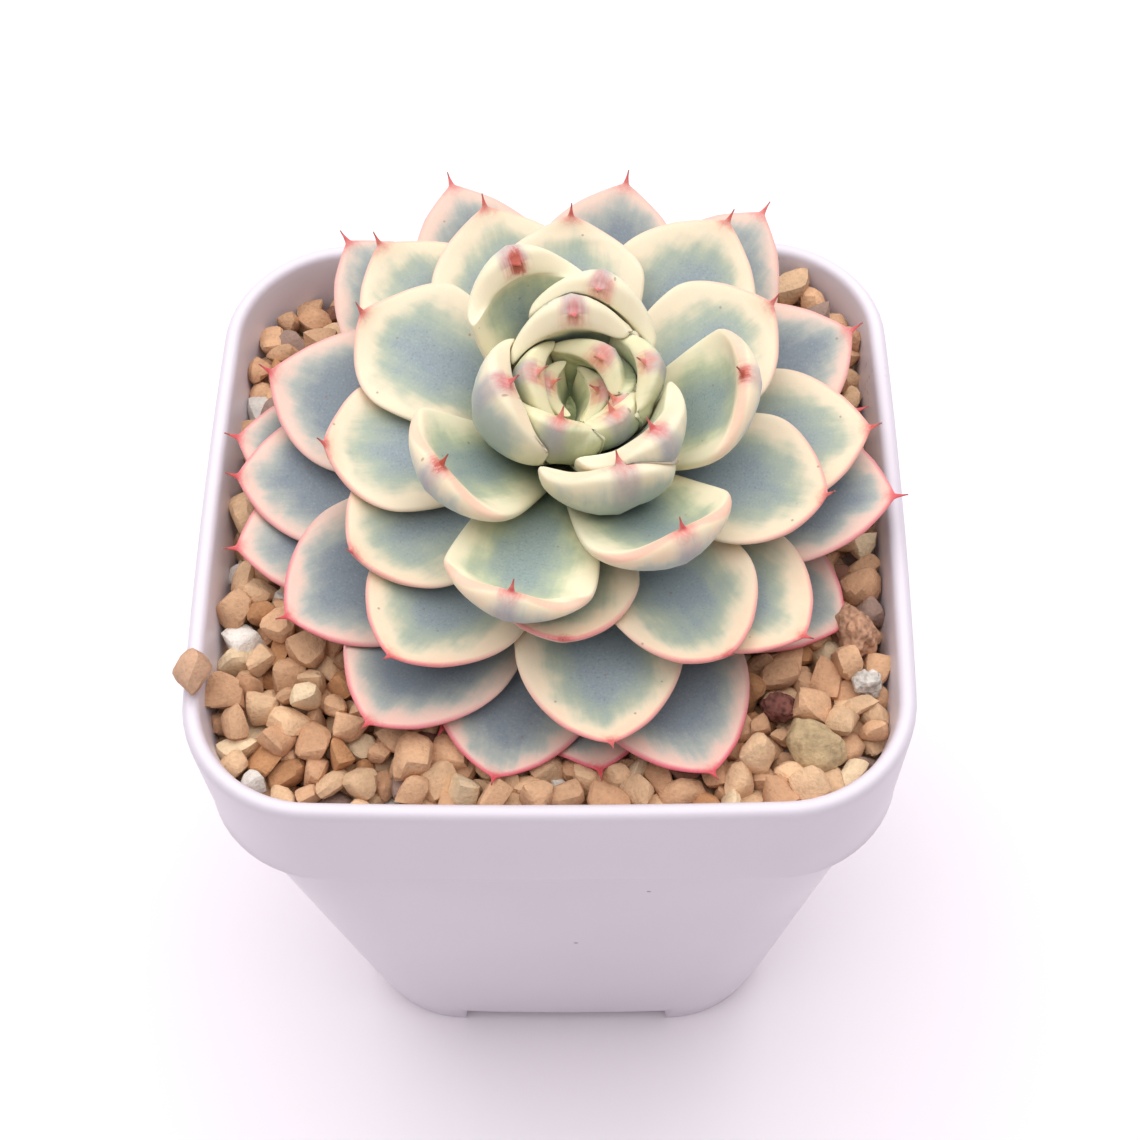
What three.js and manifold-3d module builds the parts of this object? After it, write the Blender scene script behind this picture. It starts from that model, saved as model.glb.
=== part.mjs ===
// A variegated rosette succulent in a square plastic nursery pot, in millimetres, +Z up.
// The origin is the middle of the pot's base, on the surface that its feet stand on, and +Y is the back.
// The plant is a group of its own that leans a little, as it grew: stem and leaves are placed in that group's frame.

import * as THREE from "three";
import { mergeVertices } from "three/addons/utils/BufferGeometryUtils.js";
import Module from "manifold-3d";

const wasm = await Module();
wasm.setup();

// ---------------------------------------------------------------- driving dimensions

const GAP = 0.3; // clearance kept between pieces that touch

// Pot: a deep collar over a body that tapers to four corner feet.
const POT_HEIGHT = 85;
const RIM_SIDE = 80; // over the outside of the rim
const RIM_CORNER = 15;
const RIM_WALL = 2;
const LIP_ROUND = 1;
const COLLAR_HEIGHT = 17.5;
const COLLAR_DRAFT = 0.7; // how far the collar draws in from the rim to its lower edge
const COLLAR_STEP = 1.6; // shoulder under the collar
const BODY_WALL = 1.6;
const BASE_SIDE = 56;
const BASE_CORNER = 14;
const FLOOR_THICKNESS = 1.8;
const FOOT_HEIGHT = 2.8; // the floor is held this far off the surface
const NOTCH_WIDTH = 27.5; // opening between two feet
const FOOT_WALL = 3;
const DRAIN_RADIUS = 2.5;
const DRAIN_SPACING = 15; // from the middle of the floor to each outer drain hole

// Filling.
const GRAVEL_BELOW_RIM = 4;
const GRAVEL_DEPTH = 6;
const GRAVEL_SWELL = 0.5; // height of the uneven surface above and below its mean

// Plant.
const PLANT_X = 1.5;
const PLANT_Y = 4.5;
const PLANT_LEAN = 5; // degrees towards +X
const PLANT_NOD = 8; // degrees towards the front
const STEM_RADIUS = 5.5;
const STEM_RISE = 14.5; // top of the stem above the rim
const STEM_DOME = 4; // height of the growing tip
const STEM_IN_SOIL = 24; // how far the stem goes down below the rim
const FIRST_LEAF = 1.3; // along the stem's surface from the growing tip to the first leaf
const LEAF_PITCH = 0.4; // along the stem's surface from each leaf to the next
const LEAF_ROOT = 1; // how far a leaf runs into the stem before it is trimmed to it
const MUCRO_LENGTH = 1.6; // the sharp point that ends each leaf
const MUCRO_RADIUS = 0.5;
const MUCRO_TIP_RADIUS = 0.12;

// Blade outline and section, as shares of the blade's own length, width and thickness.
const WIDEST_AT = 0.66;
const ROOT_WIDTH = 0.38;
const ROOT_THICKNESS = 0.42;
const END_THICKNESS = 0.42;
const BELLY = 0.6; // part of the thickness that lies under the midrib
const BLADE_STATIONS = [0, 0.2, 0.42, 0.62, 0.8, 0.91, 0.98];
const BLADE_SIDES = 6;

// Rings from the heart outwards. Each leaf is [bearing in degrees, reach, rise above the rim] of its point in
// the plant's frame, youngest first. rootAngle and tipAngle are the blade's slope where it leaves the stem and
// where it ends, width and thick are its largest, and cup is how deeply it is hollowed, as a share of width.
const RINGS = [
  {
    name: "core", width: 6, thick: 1.6, cup: 0.36, rootAngle: 66, tipAngle: 112,
    leaves: [[3, 1.5, 20], [182, 1.7, 21.5], [332, 3.7, 22]],
  },
  {
    name: "heart", width: 9.4, thick: 2, cup: 0.36, rootAngle: 50, tipAngle: 124,
    leaves: [[42, 2.3, 23.5], [310, 4.8, 23.5], [182, 3.3, 24], [7, 6.2, 25], [253, 5.3, 24.5]],
  },
  {
    name: "bud", width: 12.8, thick: 2.4, cup: 0.36, rootAngle: 34, tipAngle: 126,
    leaves: [[96, 4.8, 26], [315, 9.9, 26], [199, 6.7, 25.5], [77, 8.3, 26], [291, 10.9, 24.5], [118, 13.2, 25]],
  },
  {
    name: "crown", width: 14.5, thick: 2.8, cup: 0.3, rootAngle: 28, tipAngle: 96,
    leaves: [[219, 17.4, 23.7], [359, 16.7, 25.6], [300, 20.8, 25], [255, 24.6, 21]],
  },
  {
    name: "upper", width: 16, thick: 3, cup: 0.2, rootAngle: 30, tipAngle: 46,
    leaves: [
      [91, 25.1, 17.7], [31, 26.6, 18.3], [152, 27.6, 14.3], [340, 30, 17.1],
      [188, 28.1, 13.3], [268, 28.3, 16.1], [215, 29.4, 12.4], [300, 33.7, 15.7],
    ],
  },
  {
    name: "middle", width: 17, thick: 3, cup: 0.17, rootAngle: 18, tipAngle: 34,
    leaves: [
      [55, 32, 16.2], [110, 30.9, 13.2], [360, 34.4, 14.2], [236, 35.1, 11.5],
      [132, 34.4, 9.6], [277, 38.4, 10.9], [315, 36.6, 13],
    ],
  },
  {
    name: "lower", width: 18, thick: 3, cup: 0.15, rootAngle: 8, tipAngle: 26,
    leaves: [
      [79, 34.7, 12], [24, 36.8, 10.9], [164, 37, 4.6], [349, 38.2, 11.2],
      [215, 38.6, 5.4], [184, 38.8, 2.1], [238, 41.2, 6.1], [292, 43, 7], [259, 40.8, 4],
    ],
  },
  {
    name: "base", width: 18, thick: 2.6, cup: 0.12, rootAngle: 0, tipAngle: 20,
    leaves: [
      [54, 40.5, 8.6], [112, 39.2, 6.8], [132, 40.8, 2.5], [175, 39.5, 0.2], [197, 40.1, 1],
      [327, 38.5, 4.4], [11, 35.5, 6], [222, 34, 1.6], [248, 36.5, 1.8], [276, 39, 2.8],
    ],
  },
];

// Named stones that stand out of the gravel: [x, y, height above the mean surface of the gravel], half sizes, seed.
const STONES = {
  stone_porous: { place: [34.2, -16, 1.6], half: [2.6, 2.9, 2.5], seed: 1, color: 0x9c6a4c },
  stone_round: { place: [29, -30.4, 1.2], half: [3, 2.8, 2.2], seed: 2, color: 0xa08a5c },
  stone_dark: { place: [25.2, -25.2, 0.7], half: [2.1, 1.8, 1.6], seed: 3, color: 0x7e4f48 },
  stone_pale: { place: [35, -22.3, 1], half: [1.9, 1.5, 1.4], seed: 4, color: 0xd8d2c8 },
};

// ---------------------------------------------------------------- derived values

const RIM_HALF = RIM_SIDE / 2;
const COLLAR_Z = POT_HEIGHT - COLLAR_HEIGHT;
const BODY_TOP_HALF = RIM_HALF - COLLAR_DRAFT - COLLAR_STEP;
const FLOOR_Z = FOOT_HEIGHT + FLOOR_THICKNESS;
const GRAVEL_Z = POT_HEIGHT - GRAVEL_BELOW_RIM;
const SOIL_Z = GRAVEL_Z - GRAVEL_DEPTH;
const CORNER_STEPS = 7;
const radians = THREE.MathUtils.degToRad;
const lerp = THREE.MathUtils.lerp;

// ---------------------------------------------------------------- solids

// Closed skin through rings of equal length, each counter-clockwise about the way from the first to the last,
// with a flat fan over each end.
function loft(rings) {
  const count = rings[0].length;
  const points = rings.flat();
  const faces = [];
  for (let ring = 0; ring + 1 < rings.length; ring++)
    for (let k = 0; k < count; k++) {
      const a = ring * count + k;
      const b = ring * count + ((k + 1) % count);
      faces.push(a, b, b + count, a, b + count, a + count);
    }
  const last = (rings.length - 1) * count;
  const ends = [middle(rings[0]), middle(rings[rings.length - 1])];
  for (let k = 0; k < count; k++) {
    const next = (k + 1) % count;
    faces.push(points.length, next, k, points.length + 1, last + k, last + next);
  }
  return geometryOf([...points, ...ends], faces);
}

// Closed skin through rings that return to the first, as a washer's section does.
function loopLoft(rings) {
  const count = rings[0].length;
  const faces = [];
  for (let ring = 0; ring < rings.length; ring++)
    for (let k = 0; k < count; k++) {
      const a = ring * count + k;
      const b = ring * count + ((k + 1) % count);
      const across = ((ring + 1) % rings.length) * count;
      const c = across + ((k + 1) % count);
      faces.push(a, b, c, a, c, across + k);
    }
  return geometryOf(rings.flat(), faces);
}

function middle(ring) {
  return ring.reduce((sum, p) => sum.add(p), new THREE.Vector3()).divideScalar(ring.length);
}

function geometryOf(points, faces) {
  return new THREE.BufferGeometry().setFromPoints(points).setIndex(faces);
}

// A closed geometry as a manifold-3d solid, moved by matrix.
function solid(geometry, matrix = new THREE.Matrix4()) {
  const bare = (geometry.index ? geometry.toNonIndexed() : geometry.clone()).applyMatrix4(matrix);
  bare.deleteAttribute("normal");
  bare.deleteAttribute("uv");
  const merged = mergeVertices(bare, 1e-4);
  return new wasm.Manifold(
    new wasm.Mesh({
      numProp: 3,
      vertProperties: merged.attributes.position.array,
      triVerts: new Uint32Array(merged.index.array),
    }),
  );
}

// The largest body of a solid, as a geometry.
function geometryFrom(shape) {
  const body = shape.decompose().reduce((a, b) => (b.volume() > a.volume() ? b : a));
  const mesh = body.getMesh();
  return new THREE.BufferGeometry()
    .setAttribute("position", new THREE.BufferAttribute(mesh.vertProperties.slice(), 3))
    .setIndex(new THREE.BufferAttribute(mesh.triVerts.slice(), 1));
}

function cut(shape, tools) {
  return tools.reduce((rest, tool) => rest.subtract(tool), shape);
}

function mesh(name, geometry, color, roughness) {
  geometry.computeVertexNormals();
  const made = new THREE.Mesh(
    geometry,
    new THREE.MeshStandardMaterial({ color, roughness, metalness: 0 }),
  );
  made.name = name;
  return made;
}

// ---------------------------------------------------------------- pot

// Square ring with round corners at height z, counter-clockwise from above.
function squareRing(half, corner, z) {
  const ring = [];
  for (let quarter = 0; quarter < 4; quarter++)
    for (let step = 0; step <= CORNER_STEPS; step++) {
      const turn = ((quarter + step / CORNER_STEPS) * Math.PI) / 2;
      const side = ((quarter + 0.5) * Math.PI) / 2;
      const centre = (half - corner) * Math.SQRT2;
      ring.push(
        new THREE.Vector3(
          centre * Math.cos(side) + corner * Math.cos(turn),
          centre * Math.sin(side) + corner * Math.sin(turn),
          z,
        ),
      );
    }
  return ring;
}

// Half width and corner radius of the body's outside at height z.
function bodyAt(z) {
  const share = z / COLLAR_Z;
  return {
    half: lerp(BASE_SIDE / 2, BODY_TOP_HALF, share),
    corner: lerp(BASE_CORNER, RIM_CORNER - COLLAR_STEP, share),
  };
}

// The pot's inside at height z, drawn in by clearance.
function insideRing(z, clearance = 0) {
  const collarFrom = COLLAR_Z + BODY_WALL;
  const upper = Math.max(0, (z - collarFrom) / (POT_HEIGHT - collarFrom));
  const body = bodyAt(Math.min(z, collarFrom));
  const half = lerp(body.half - BODY_WALL, RIM_HALF - RIM_WALL, upper) - clearance;
  const corner = lerp(body.corner - BODY_WALL, RIM_CORNER - RIM_WALL, upper) - clearance;
  return squareRing(half, corner, z);
}

function potOutside() {
  const foot = bodyAt(0);
  const top = bodyAt(COLLAR_Z);
  const edge = RIM_HALF - COLLAR_DRAFT;
  return loft([
    squareRing(foot.half - LIP_ROUND / 2, foot.corner - LIP_ROUND / 2, 0),
    squareRing(foot.half, foot.corner, LIP_ROUND / 2),
    squareRing(top.half, top.corner, COLLAR_Z),
    squareRing(edge - LIP_ROUND, RIM_CORNER - LIP_ROUND, COLLAR_Z + LIP_ROUND / 4),
    squareRing(edge, RIM_CORNER, COLLAR_Z + LIP_ROUND),
    squareRing(RIM_HALF, RIM_CORNER, POT_HEIGHT - LIP_ROUND),
    squareRing(RIM_HALF - LIP_ROUND * 0.3, RIM_CORNER - LIP_ROUND * 0.3, POT_HEIGHT - LIP_ROUND * 0.3),
    squareRing(RIM_HALF - LIP_ROUND, RIM_CORNER - LIP_ROUND, POT_HEIGHT),
  ]);
}

function potInside() {
  const above = POT_HEIGHT + 1;
  return loft([
    insideRing(FLOOR_Z),
    insideRing(COLLAR_Z + BODY_WALL),
    insideRing(POT_HEIGHT),
    squareRing(RIM_HALF - RIM_WALL, RIM_CORNER - RIM_WALL, above),
  ]);
}

// The hollow under the floor, and the four openings that leave a foot at each corner.
function underFloor() {
  const { half, corner } = bodyAt(0);
  const inner = half - FOOT_WALL;
  const hollow = loft([
    squareRing(inner, corner - FOOT_WALL, -1),
    squareRing(inner, corner - FOOT_WALL, FOOT_HEIGHT),
  ]);
  const notch = new THREE.BoxGeometry(NOTCH_WIDTH, BASE_SIDE + 2, 2 * FOOT_HEIGHT);
  const quarterTurn = new THREE.Matrix4().makeRotationZ(Math.PI / 2);
  return [solid(hollow), solid(notch), solid(notch, quarterTurn)];
}

function drainHoles() {
  const drill = new THREE.CylinderGeometry(DRAIN_RADIUS, DRAIN_RADIUS, 4 * FLOOR_THICKNESS, 20);
  drill.rotateX(Math.PI / 2);
  const holes = [solid(drill, new THREE.Matrix4().makeTranslation(0, 0, FLOOR_Z))];
  for (let k = 0; k < 4; k++) {
    const turn = ((k + 0.5) * Math.PI) / 2;
    const [x, y] = [DRAIN_SPACING * Math.cos(turn), DRAIN_SPACING * Math.sin(turn)];
    holes.push(solid(drill, new THREE.Matrix4().makeTranslation(x, y, FLOOR_Z)));
  }
  return holes;
}

function makePot() {
  const shape = cut(solid(potOutside()), [solid(potInside()), ...underFloor(), ...drainHoles()]);
  return mesh("pot", geometryFrom(shape), 0xf1eef6, 0.35);
}

// The rim and collar grown by the clearance, which no leaf may enter.
function rimKeepOut() {
  const outer = RIM_HALF + GAP;
  const inner = RIM_HALF - RIM_WALL - GAP;
  const corner = RIM_CORNER + GAP;
  const hollow = corner - (outer - inner);
  return loopLoft([
    squareRing(outer, corner, COLLAR_Z),
    squareRing(outer, corner, POT_HEIGHT + GAP),
    squareRing(inner, hollow, POT_HEIGHT + GAP),
    squareRing(inner, hollow, COLLAR_Z),
  ]);
}

// ---------------------------------------------------------------- stem

// Frame of the plant: it leans to one side and nods to the front, about a point level with the rim.
const plantMatrix = new THREE.Matrix4().compose(
  new THREE.Vector3(PLANT_X, PLANT_Y, POT_HEIGHT),
  new THREE.Quaternion().setFromEuler(new THREE.Euler(radians(PLANT_NOD), radians(PLANT_LEAN), 0)),
  new THREE.Vector3(1, 1, 1),
);

// The stem, grown by clearance: a round post with a domed growing tip.
function stemGeometry(clearance = 0) {
  const radius = STEM_RADIUS + clearance;
  const shoulder = STEM_RISE - STEM_DOME;
  const profile = [new THREE.Vector2(0, -STEM_IN_SOIL - clearance)];
  profile.push(new THREE.Vector2(radius * 0.7, -STEM_IN_SOIL - clearance));
  profile.push(new THREE.Vector2(radius, -STEM_IN_SOIL + radius * 0.5));
  const domeSteps = 5;
  for (let k = 0; k <= domeSteps; k++) {
    const turn = (k / domeSteps) * (Math.PI / 2);
    const r = k === domeSteps ? 0 : radius * Math.cos(turn);
    profile.push(new THREE.Vector2(r, shoulder + (STEM_DOME + clearance) * Math.sin(turn)));
  }
  const lathe = new THREE.LatheGeometry(profile, 20);
  return lathe.rotateX(Math.PI / 2);
}

// Distance from the axis and height of the stem's surface, a distance along from the growing tip.
function stemSurface(along) {
  const shoulder = STEM_RISE - STEM_DOME;
  if (along >= STEM_RADIUS) return [STEM_RADIUS, shoulder - (along - STEM_RADIUS)];
  return [along, shoulder + STEM_DOME * Math.sqrt(1 - (along / STEM_RADIUS) ** 2)];
}

// ---------------------------------------------------------------- leaves

// Share of the full width at a share of the blade's length: slim at the root, widest past the middle, blunt.
function widthAt(share) {
  if (share < WIDEST_AT) {
    const swell = Math.sin((share / WIDEST_AT) * (Math.PI / 2)) ** 1.3;
    return lerp(ROOT_WIDTH, 1, swell);
  }
  return Math.sqrt(Math.max(0, 1 - ((share - WIDEST_AT) / (1 - WIDEST_AT)) ** 2.1));
}

// Share of the full thickness: thin at the root, fleshy in the middle, thin at the end.
function thicknessAt(share) {
  const half = 0.5;
  if (share < half) return lerp(ROOT_THICKNESS, 1, share / half);
  return lerp(1, END_THICKNESS, ((share - half) / half) ** 2);
}

// Midrib from the stem to the start of the point, as a curve in the plane of distance and height.
function midribOf(leaf) {
  const [rootR, rootZ] = stemSurface(leaf.along);
  const root = new THREE.Vector2(rootR, rootZ);
  const rise = radians(leaf.tipAngle);
  const point = new THREE.Vector2(Math.cos(rise), Math.sin(rise));
  const end = new THREE.Vector2(leaf.reach, leaf.rise).addScaledVector(point, -MUCRO_LENGTH);
  const start = new THREE.Vector2(Math.cos(radians(leaf.rootAngle)), Math.sin(radians(leaf.rootAngle)));
  const span = root.distanceTo(end);
  return new THREE.CubicBezierCurve(
    root.clone().addScaledVector(start, -LEAF_ROOT),
    root.clone().addScaledVector(start, span * 0.36),
    end.clone().addScaledVector(point, -span * 0.3),
    end,
  );
}

// Section of a blade: a lens of this half width and thickness, hollowed on its upper side by cup.
function section(centre, along, halfWidth, thick, hollow) {
  const up = new THREE.Vector2(-along.y, along.x);
  const ring = [];
  for (let k = 0; k < BLADE_SIDES; k++) {
    const turn = (k / BLADE_SIDES) * 2 * Math.PI;
    const across = Math.cos(turn);
    const depth = thick * (Math.sin(turn) > 0 ? 1 - BELLY : BELLY);
    const height = hollow * across * across + depth * Math.sin(turn);
    ring.push(new THREE.Vector3(centre.x + up.x * height, halfWidth * across, centre.y + up.y * height));
  }
  return ring;
}

// The leaf's blade and point along +X, grown by clearance.
function leafGeometry(leaf, clearance = 0) {
  const midrib = midribOf(leaf);
  const rings = BLADE_STATIONS.map((share) => {
    const bladeWidth = (leaf.width / 2) * widthAt(share);
    const halfWidth = bladeWidth + clearance;
    const thick = leaf.thick * thicknessAt(share) + 2.8 * clearance;
    const hollow = leaf.cup * leaf.width * (widthAt(share) * (halfWidth / bladeWidth)) ** 2;
    return section(midrib.getPoint(share), midrib.getTangent(share), halfWidth, thick, hollow);
  });
  const end = midrib.getPoint(1);
  const along = midrib.getTangent(1);
  const lift = leaf.cup * leaf.width * 0.05;
  const base = end.clone().addScaledVector(along, MUCRO_LENGTH * 0.25);
  const tip = end.clone().addScaledVector(along, MUCRO_LENGTH + clearance);
  const baseRadius = MUCRO_RADIUS + clearance;
  const tipRadius = MUCRO_TIP_RADIUS + clearance;
  rings.push(section(base, along, baseRadius, 2 * baseRadius, lift));
  rings.push(section(tip, along, tipRadius, 2 * tipRadius, lift));
  return loft(rings).rotateZ(radians(leaf.bearing));
}

// Every leaf, youngest first, each attached a little further down the stem than the one before it.
function listLeaves() {
  const leaves = [];
  for (const { leaves: places, name, ...ring } of RINGS)
    places.forEach(([bearing, reach, rise], k) => {
      const along = FIRST_LEAF + LEAF_PITCH * leaves.length;
      const label = `leaf_${name}_${String(k + 1).padStart(2, "0")}`;
      leaves.push({ ...ring, name: label, along, bearing, reach, rise });
    });
  return leaves;
}

// Each leaf is trimmed where it meets the stem, the rim and every younger leaf, which lies over it.
function makeLeaves() {
  const toPlant = plantMatrix.clone().invert();
  const keepOut = [solid(stemGeometry(GAP)), solid(rimKeepOut(), toPlant)];
  return listLeaves().map((leaf) => {
    const shape = cut(solid(leafGeometry(leaf)), keepOut);
    keepOut.push(solid(leafGeometry(leaf, GAP)));
    return mesh(leaf.name, geometryFrom(shape), 0xb9c2a8, 0.6);
  });
}

// ---------------------------------------------------------------- soil, gravel and stones

function makeSoil(stemRoom) {
  const block = loft([
    insideRing(FLOOR_Z + GAP, GAP),
    insideRing(COLLAR_Z + BODY_WALL, GAP),
    insideRing(SOIL_Z, GAP),
  ]);
  return mesh("soil", geometryFrom(cut(solid(block), [stemRoom])), 0x4a3a2e, 0.95);
}

// Height of the gravel's uneven surface.
function gravelHeight(x, y) {
  return GRAVEL_Z + GRAVEL_SWELL * Math.sin(x / 2.9 + 0.6) * Math.cos(y / 3.3 - 0.4);
}

function makeGravel(obstacles) {
  const edge = insideRing(GRAVEL_Z, GAP);
  const steps = 6;
  const rings = [insideRing(SOIL_Z + GAP, GAP)];
  for (let step = 0; step < steps; step++) {
    const share = 1 - step / steps;
    rings.push(
      edge.map(({ x, y }) => new THREE.Vector3(x * share, y * share, gravelHeight(x * share, y * share))),
    );
  }
  return mesh("gravel_layer", geometryFrom(cut(solid(loft(rings)), obstacles)), 0xc8a07a, 0.9);
}

// A worn stone: a faceted ball with each corner moved in or out by a repeatable amount.
function stoneGeometry({ place: [x, y, above], half, seed }, clearance = 0) {
  const ball = mergeVertices(bareBall(), 1e-4);
  const at = ball.attributes.position;
  for (let k = 0; k < at.count; k++) {
    const p = new THREE.Vector3().fromBufferAttribute(at, k);
    const wear = 1 + 0.1 * Math.sin(3.1 * p.x + seed) * Math.cos(2.7 * p.y - seed) + 0.06 * Math.sin(5 * p.z + seed);
    p.multiplyScalar(wear);
    at.setXYZ(k, p.x * (half[0] + clearance), p.y * (half[1] + clearance), p.z * (half[2] + clearance));
  }
  return ball.translate(x, y, GRAVEL_Z + above);
}

function bareBall() {
  const ball = new THREE.IcosahedronGeometry(1, 1);
  ball.deleteAttribute("normal");
  ball.deleteAttribute("uv");
  return ball;
}

function makeStones(leafRoom) {
  return Object.entries(STONES).map(([name, stone]) =>
    mesh(name, geometryFrom(cut(solid(stoneGeometry(stone)), leafRoom)), stone.color, 0.9),
  );
}

// ---------------------------------------------------------------- the whole part

const plant = new THREE.Group();
plant.applyMatrix4(plantMatrix);
plant.add(mesh("stem", stemGeometry(), 0x8b8f6e, 0.8), ...makeLeaves());

const stemRoom = solid(stemGeometry(GAP), plantMatrix);
const leafRoom = listLeaves().map((leaf) => solid(leafGeometry(leaf, GAP), plantMatrix));
const stoneRoom = Object.values(STONES).map((stone) => solid(stoneGeometry(stone, GAP)));

const part = new THREE.Group();
part.add(makePot(), makeSoil(stemRoom), plant);
part.add(makeGravel([stemRoom, ...stoneRoom, ...leafRoom]), ...makeStones(leafRoom));

export default part;
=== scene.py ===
"""A variegated rosette succulent in a square white pot: the looks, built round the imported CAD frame.

Every length in this file is in millimetres until a mesh is made, in the frame of the CAD model: +Z up, the
origin under the middle of the pot, and -Y towards the viewer.
"""

import logging
import math
from dataclasses import dataclass, field
from enum import Enum
from typing import Any

import bpy
import numpy as np
from mathutils import Matrix, Vector
from mathutils.bvhtree import BVHTree


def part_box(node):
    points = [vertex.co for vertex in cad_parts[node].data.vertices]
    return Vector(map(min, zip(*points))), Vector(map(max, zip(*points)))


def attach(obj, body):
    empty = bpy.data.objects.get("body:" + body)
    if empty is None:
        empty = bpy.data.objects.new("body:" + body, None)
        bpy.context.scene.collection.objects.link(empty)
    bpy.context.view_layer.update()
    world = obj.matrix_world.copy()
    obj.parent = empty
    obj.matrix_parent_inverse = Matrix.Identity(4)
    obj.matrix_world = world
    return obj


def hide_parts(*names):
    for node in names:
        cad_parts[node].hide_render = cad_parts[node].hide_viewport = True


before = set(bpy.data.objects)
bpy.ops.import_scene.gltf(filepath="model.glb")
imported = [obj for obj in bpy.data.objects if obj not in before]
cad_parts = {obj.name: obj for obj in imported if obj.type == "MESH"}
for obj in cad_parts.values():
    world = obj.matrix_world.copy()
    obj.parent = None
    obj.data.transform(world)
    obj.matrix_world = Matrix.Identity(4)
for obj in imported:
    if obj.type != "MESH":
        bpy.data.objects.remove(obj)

MM = 0.001
BODY = "root"
MIX_A, MIX_B, MIX_OUT = 6, 7, 2  # a colour Mix node's sockets
SOFTENED = {"interpolation_type": "SMOOTHSTEP"}

log = logging.getLogger("potted_succulent")


# ------------------------------------------------------------------------------------------- meshes and nodes


def linear(colour: str) -> tuple[float, float, float, float]:
    """Turns an sRGB hex colour into a linear one.

    Args:
        colour: Six hex digits after a hash.

    Returns:
        Red, green, blue and an alpha of 1.
    """
    raw = np.array([int(colour[k : k + 2], 16) / 255 for k in (1, 3, 5)])
    light = np.where(raw <= 0.04045, raw / 12.92, ((raw + 0.055) / 1.055) ** 2.4)
    return (*light.tolist(), 1.0)


def smooth(low: float, high: float, value: np.ndarray) -> np.ndarray:
    """Rises from 0 at low to 1 at high along 3t^2 - 2t^3, and is flat outside."""
    t = np.clip((value - low) / (high - low), 0, 1)
    return t * t * (3 - 2 * t)


def grid_faces(rows: int, columns: int) -> np.ndarray:
    """Lists the quads of a grid of points whose columns close on themselves.

    Args:
        rows: Number of rings.
        columns: Points in each ring.

    Returns:
        One row of four indices for each quad, seen counter-clockwise where the rings turn counter-clockwise
        about the way from the first ring to the last.
    """
    row, column = np.mgrid[0 : rows - 1, 0:columns]
    here = row * columns + column
    beside = row * columns + (column + 1) % columns
    quads = np.stack([here, beside, beside + columns, here + columns], -1)
    return quads.reshape(-1, 4)


def closed_skin(rings: np.ndarray) -> tuple[np.ndarray, list[list[int]]]:
    """Closes a stack of rings with a fan to the middle of the first ring and of the last.

    Args:
        rings: Points as an array of rings, points in a ring, and three coordinates.

    Returns:
        The points, of which the last two are the poles, and the faces.
    """
    rows, columns = rings.shape[:2]
    points = np.vstack([rings.reshape(-1, 3), rings[0].mean(0), rings[-1].mean(0)])
    around = np.arange(columns)
    onward = (around + 1) % columns
    first, last = rows * columns, rows * columns + 1
    above = (rows - 1) * columns
    start = np.stack([onward, around, np.full(columns, first)], -1)
    end = np.stack([above + around, above + onward, np.full(columns, last)], -1)
    faces = grid_faces(rows, columns).tolist() + start.tolist() + end.tolist()
    return points, faces


def make_piece(
    name: str,
    points: np.ndarray,
    faces: list[list[int]],
    material: bpy.types.Material,
    attributes: dict[str, np.ndarray] | None = None,
    sharp_degrees: float = 180.0,
) -> bpy.types.Object:
    """Makes a shaded mesh object that sits at the origin.

    Args:
        name: The piece's name.
        points: Places in millimetres.
        faces: Corner indices of each face.
        material: The finish.
        attributes: Values for each point, of one number or three.
        sharp_degrees: Edges that turn by more than this stay sharp.

    Returns:
        The new object, linked to the scene.
    """
    mesh = bpy.data.meshes.new(name)
    mesh.from_pydata((points * MM).tolist(), [], faces)
    for label, values in (attributes or {}).items():
        kind, slot = ("FLOAT", "value") if values.ndim == 1 else ("FLOAT_VECTOR", "vector")
        layer = mesh.attributes.new(label, kind, "POINT")
        layer.data.foreach_set(slot, values.astype(np.float32).ravel())
    mesh.shade_smooth()
    if sharp_degrees < 180:
        mesh.set_sharp_from_angle(angle=math.radians(sharp_degrees))
    mesh.materials.append(material)
    piece = bpy.data.objects.new(name, mesh)
    bpy.context.scene.collection.objects.link(piece)
    log.info("made %s: %d faces", name, len(faces))
    return piece


def feed(node: bpy.types.Node, inputs: dict[Any, Any]) -> None:
    """Fills a node's inputs.

    Args:
        node: The node.
        inputs: Input name or index to a value, or to the socket that feeds it.
    """
    for key, value in inputs.items():
        if isinstance(value, bpy.types.NodeSocket):
            node.id_data.links.new(value, node.inputs[key])
        else:
            node.inputs[key].default_value = value


def add_node(tree: bpy.types.NodeTree, kind: str, inputs: dict[Any, Any], **settings: Any) -> bpy.types.Node:
    """Adds a node, sets its properties, and fills its inputs with values or links.

    Args:
        tree: The node tree.
        kind: The node's class name.
        inputs: Input name or index to a value, or to the socket that feeds it.
        settings: The node's own properties.

    Returns:
        The new node.
    """
    made = tree.nodes.new(kind)
    for key, value in settings.items():
        setattr(made, key, value)
    feed(made, inputs)
    return made


def new_material(name: str) -> tuple[bpy.types.Material, bpy.types.NodeTree, bpy.types.Node]:
    """Makes an empty node material.

    Args:
        name: The material's name.

    Returns:
        The material, its node tree and its Principled shader, which feeds the output.
    """
    material = bpy.data.materials.new(name)
    material.use_nodes = True
    tree = material.node_tree
    tree.nodes.clear()
    shader = add_node(tree, "ShaderNodeBsdfPrincipled", {})
    add_node(tree, "ShaderNodeOutputMaterial", {"Surface": shader.outputs[0]})
    return material, tree, shader


# --------------------------------------------------------------------------------------------------- finishes


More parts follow.
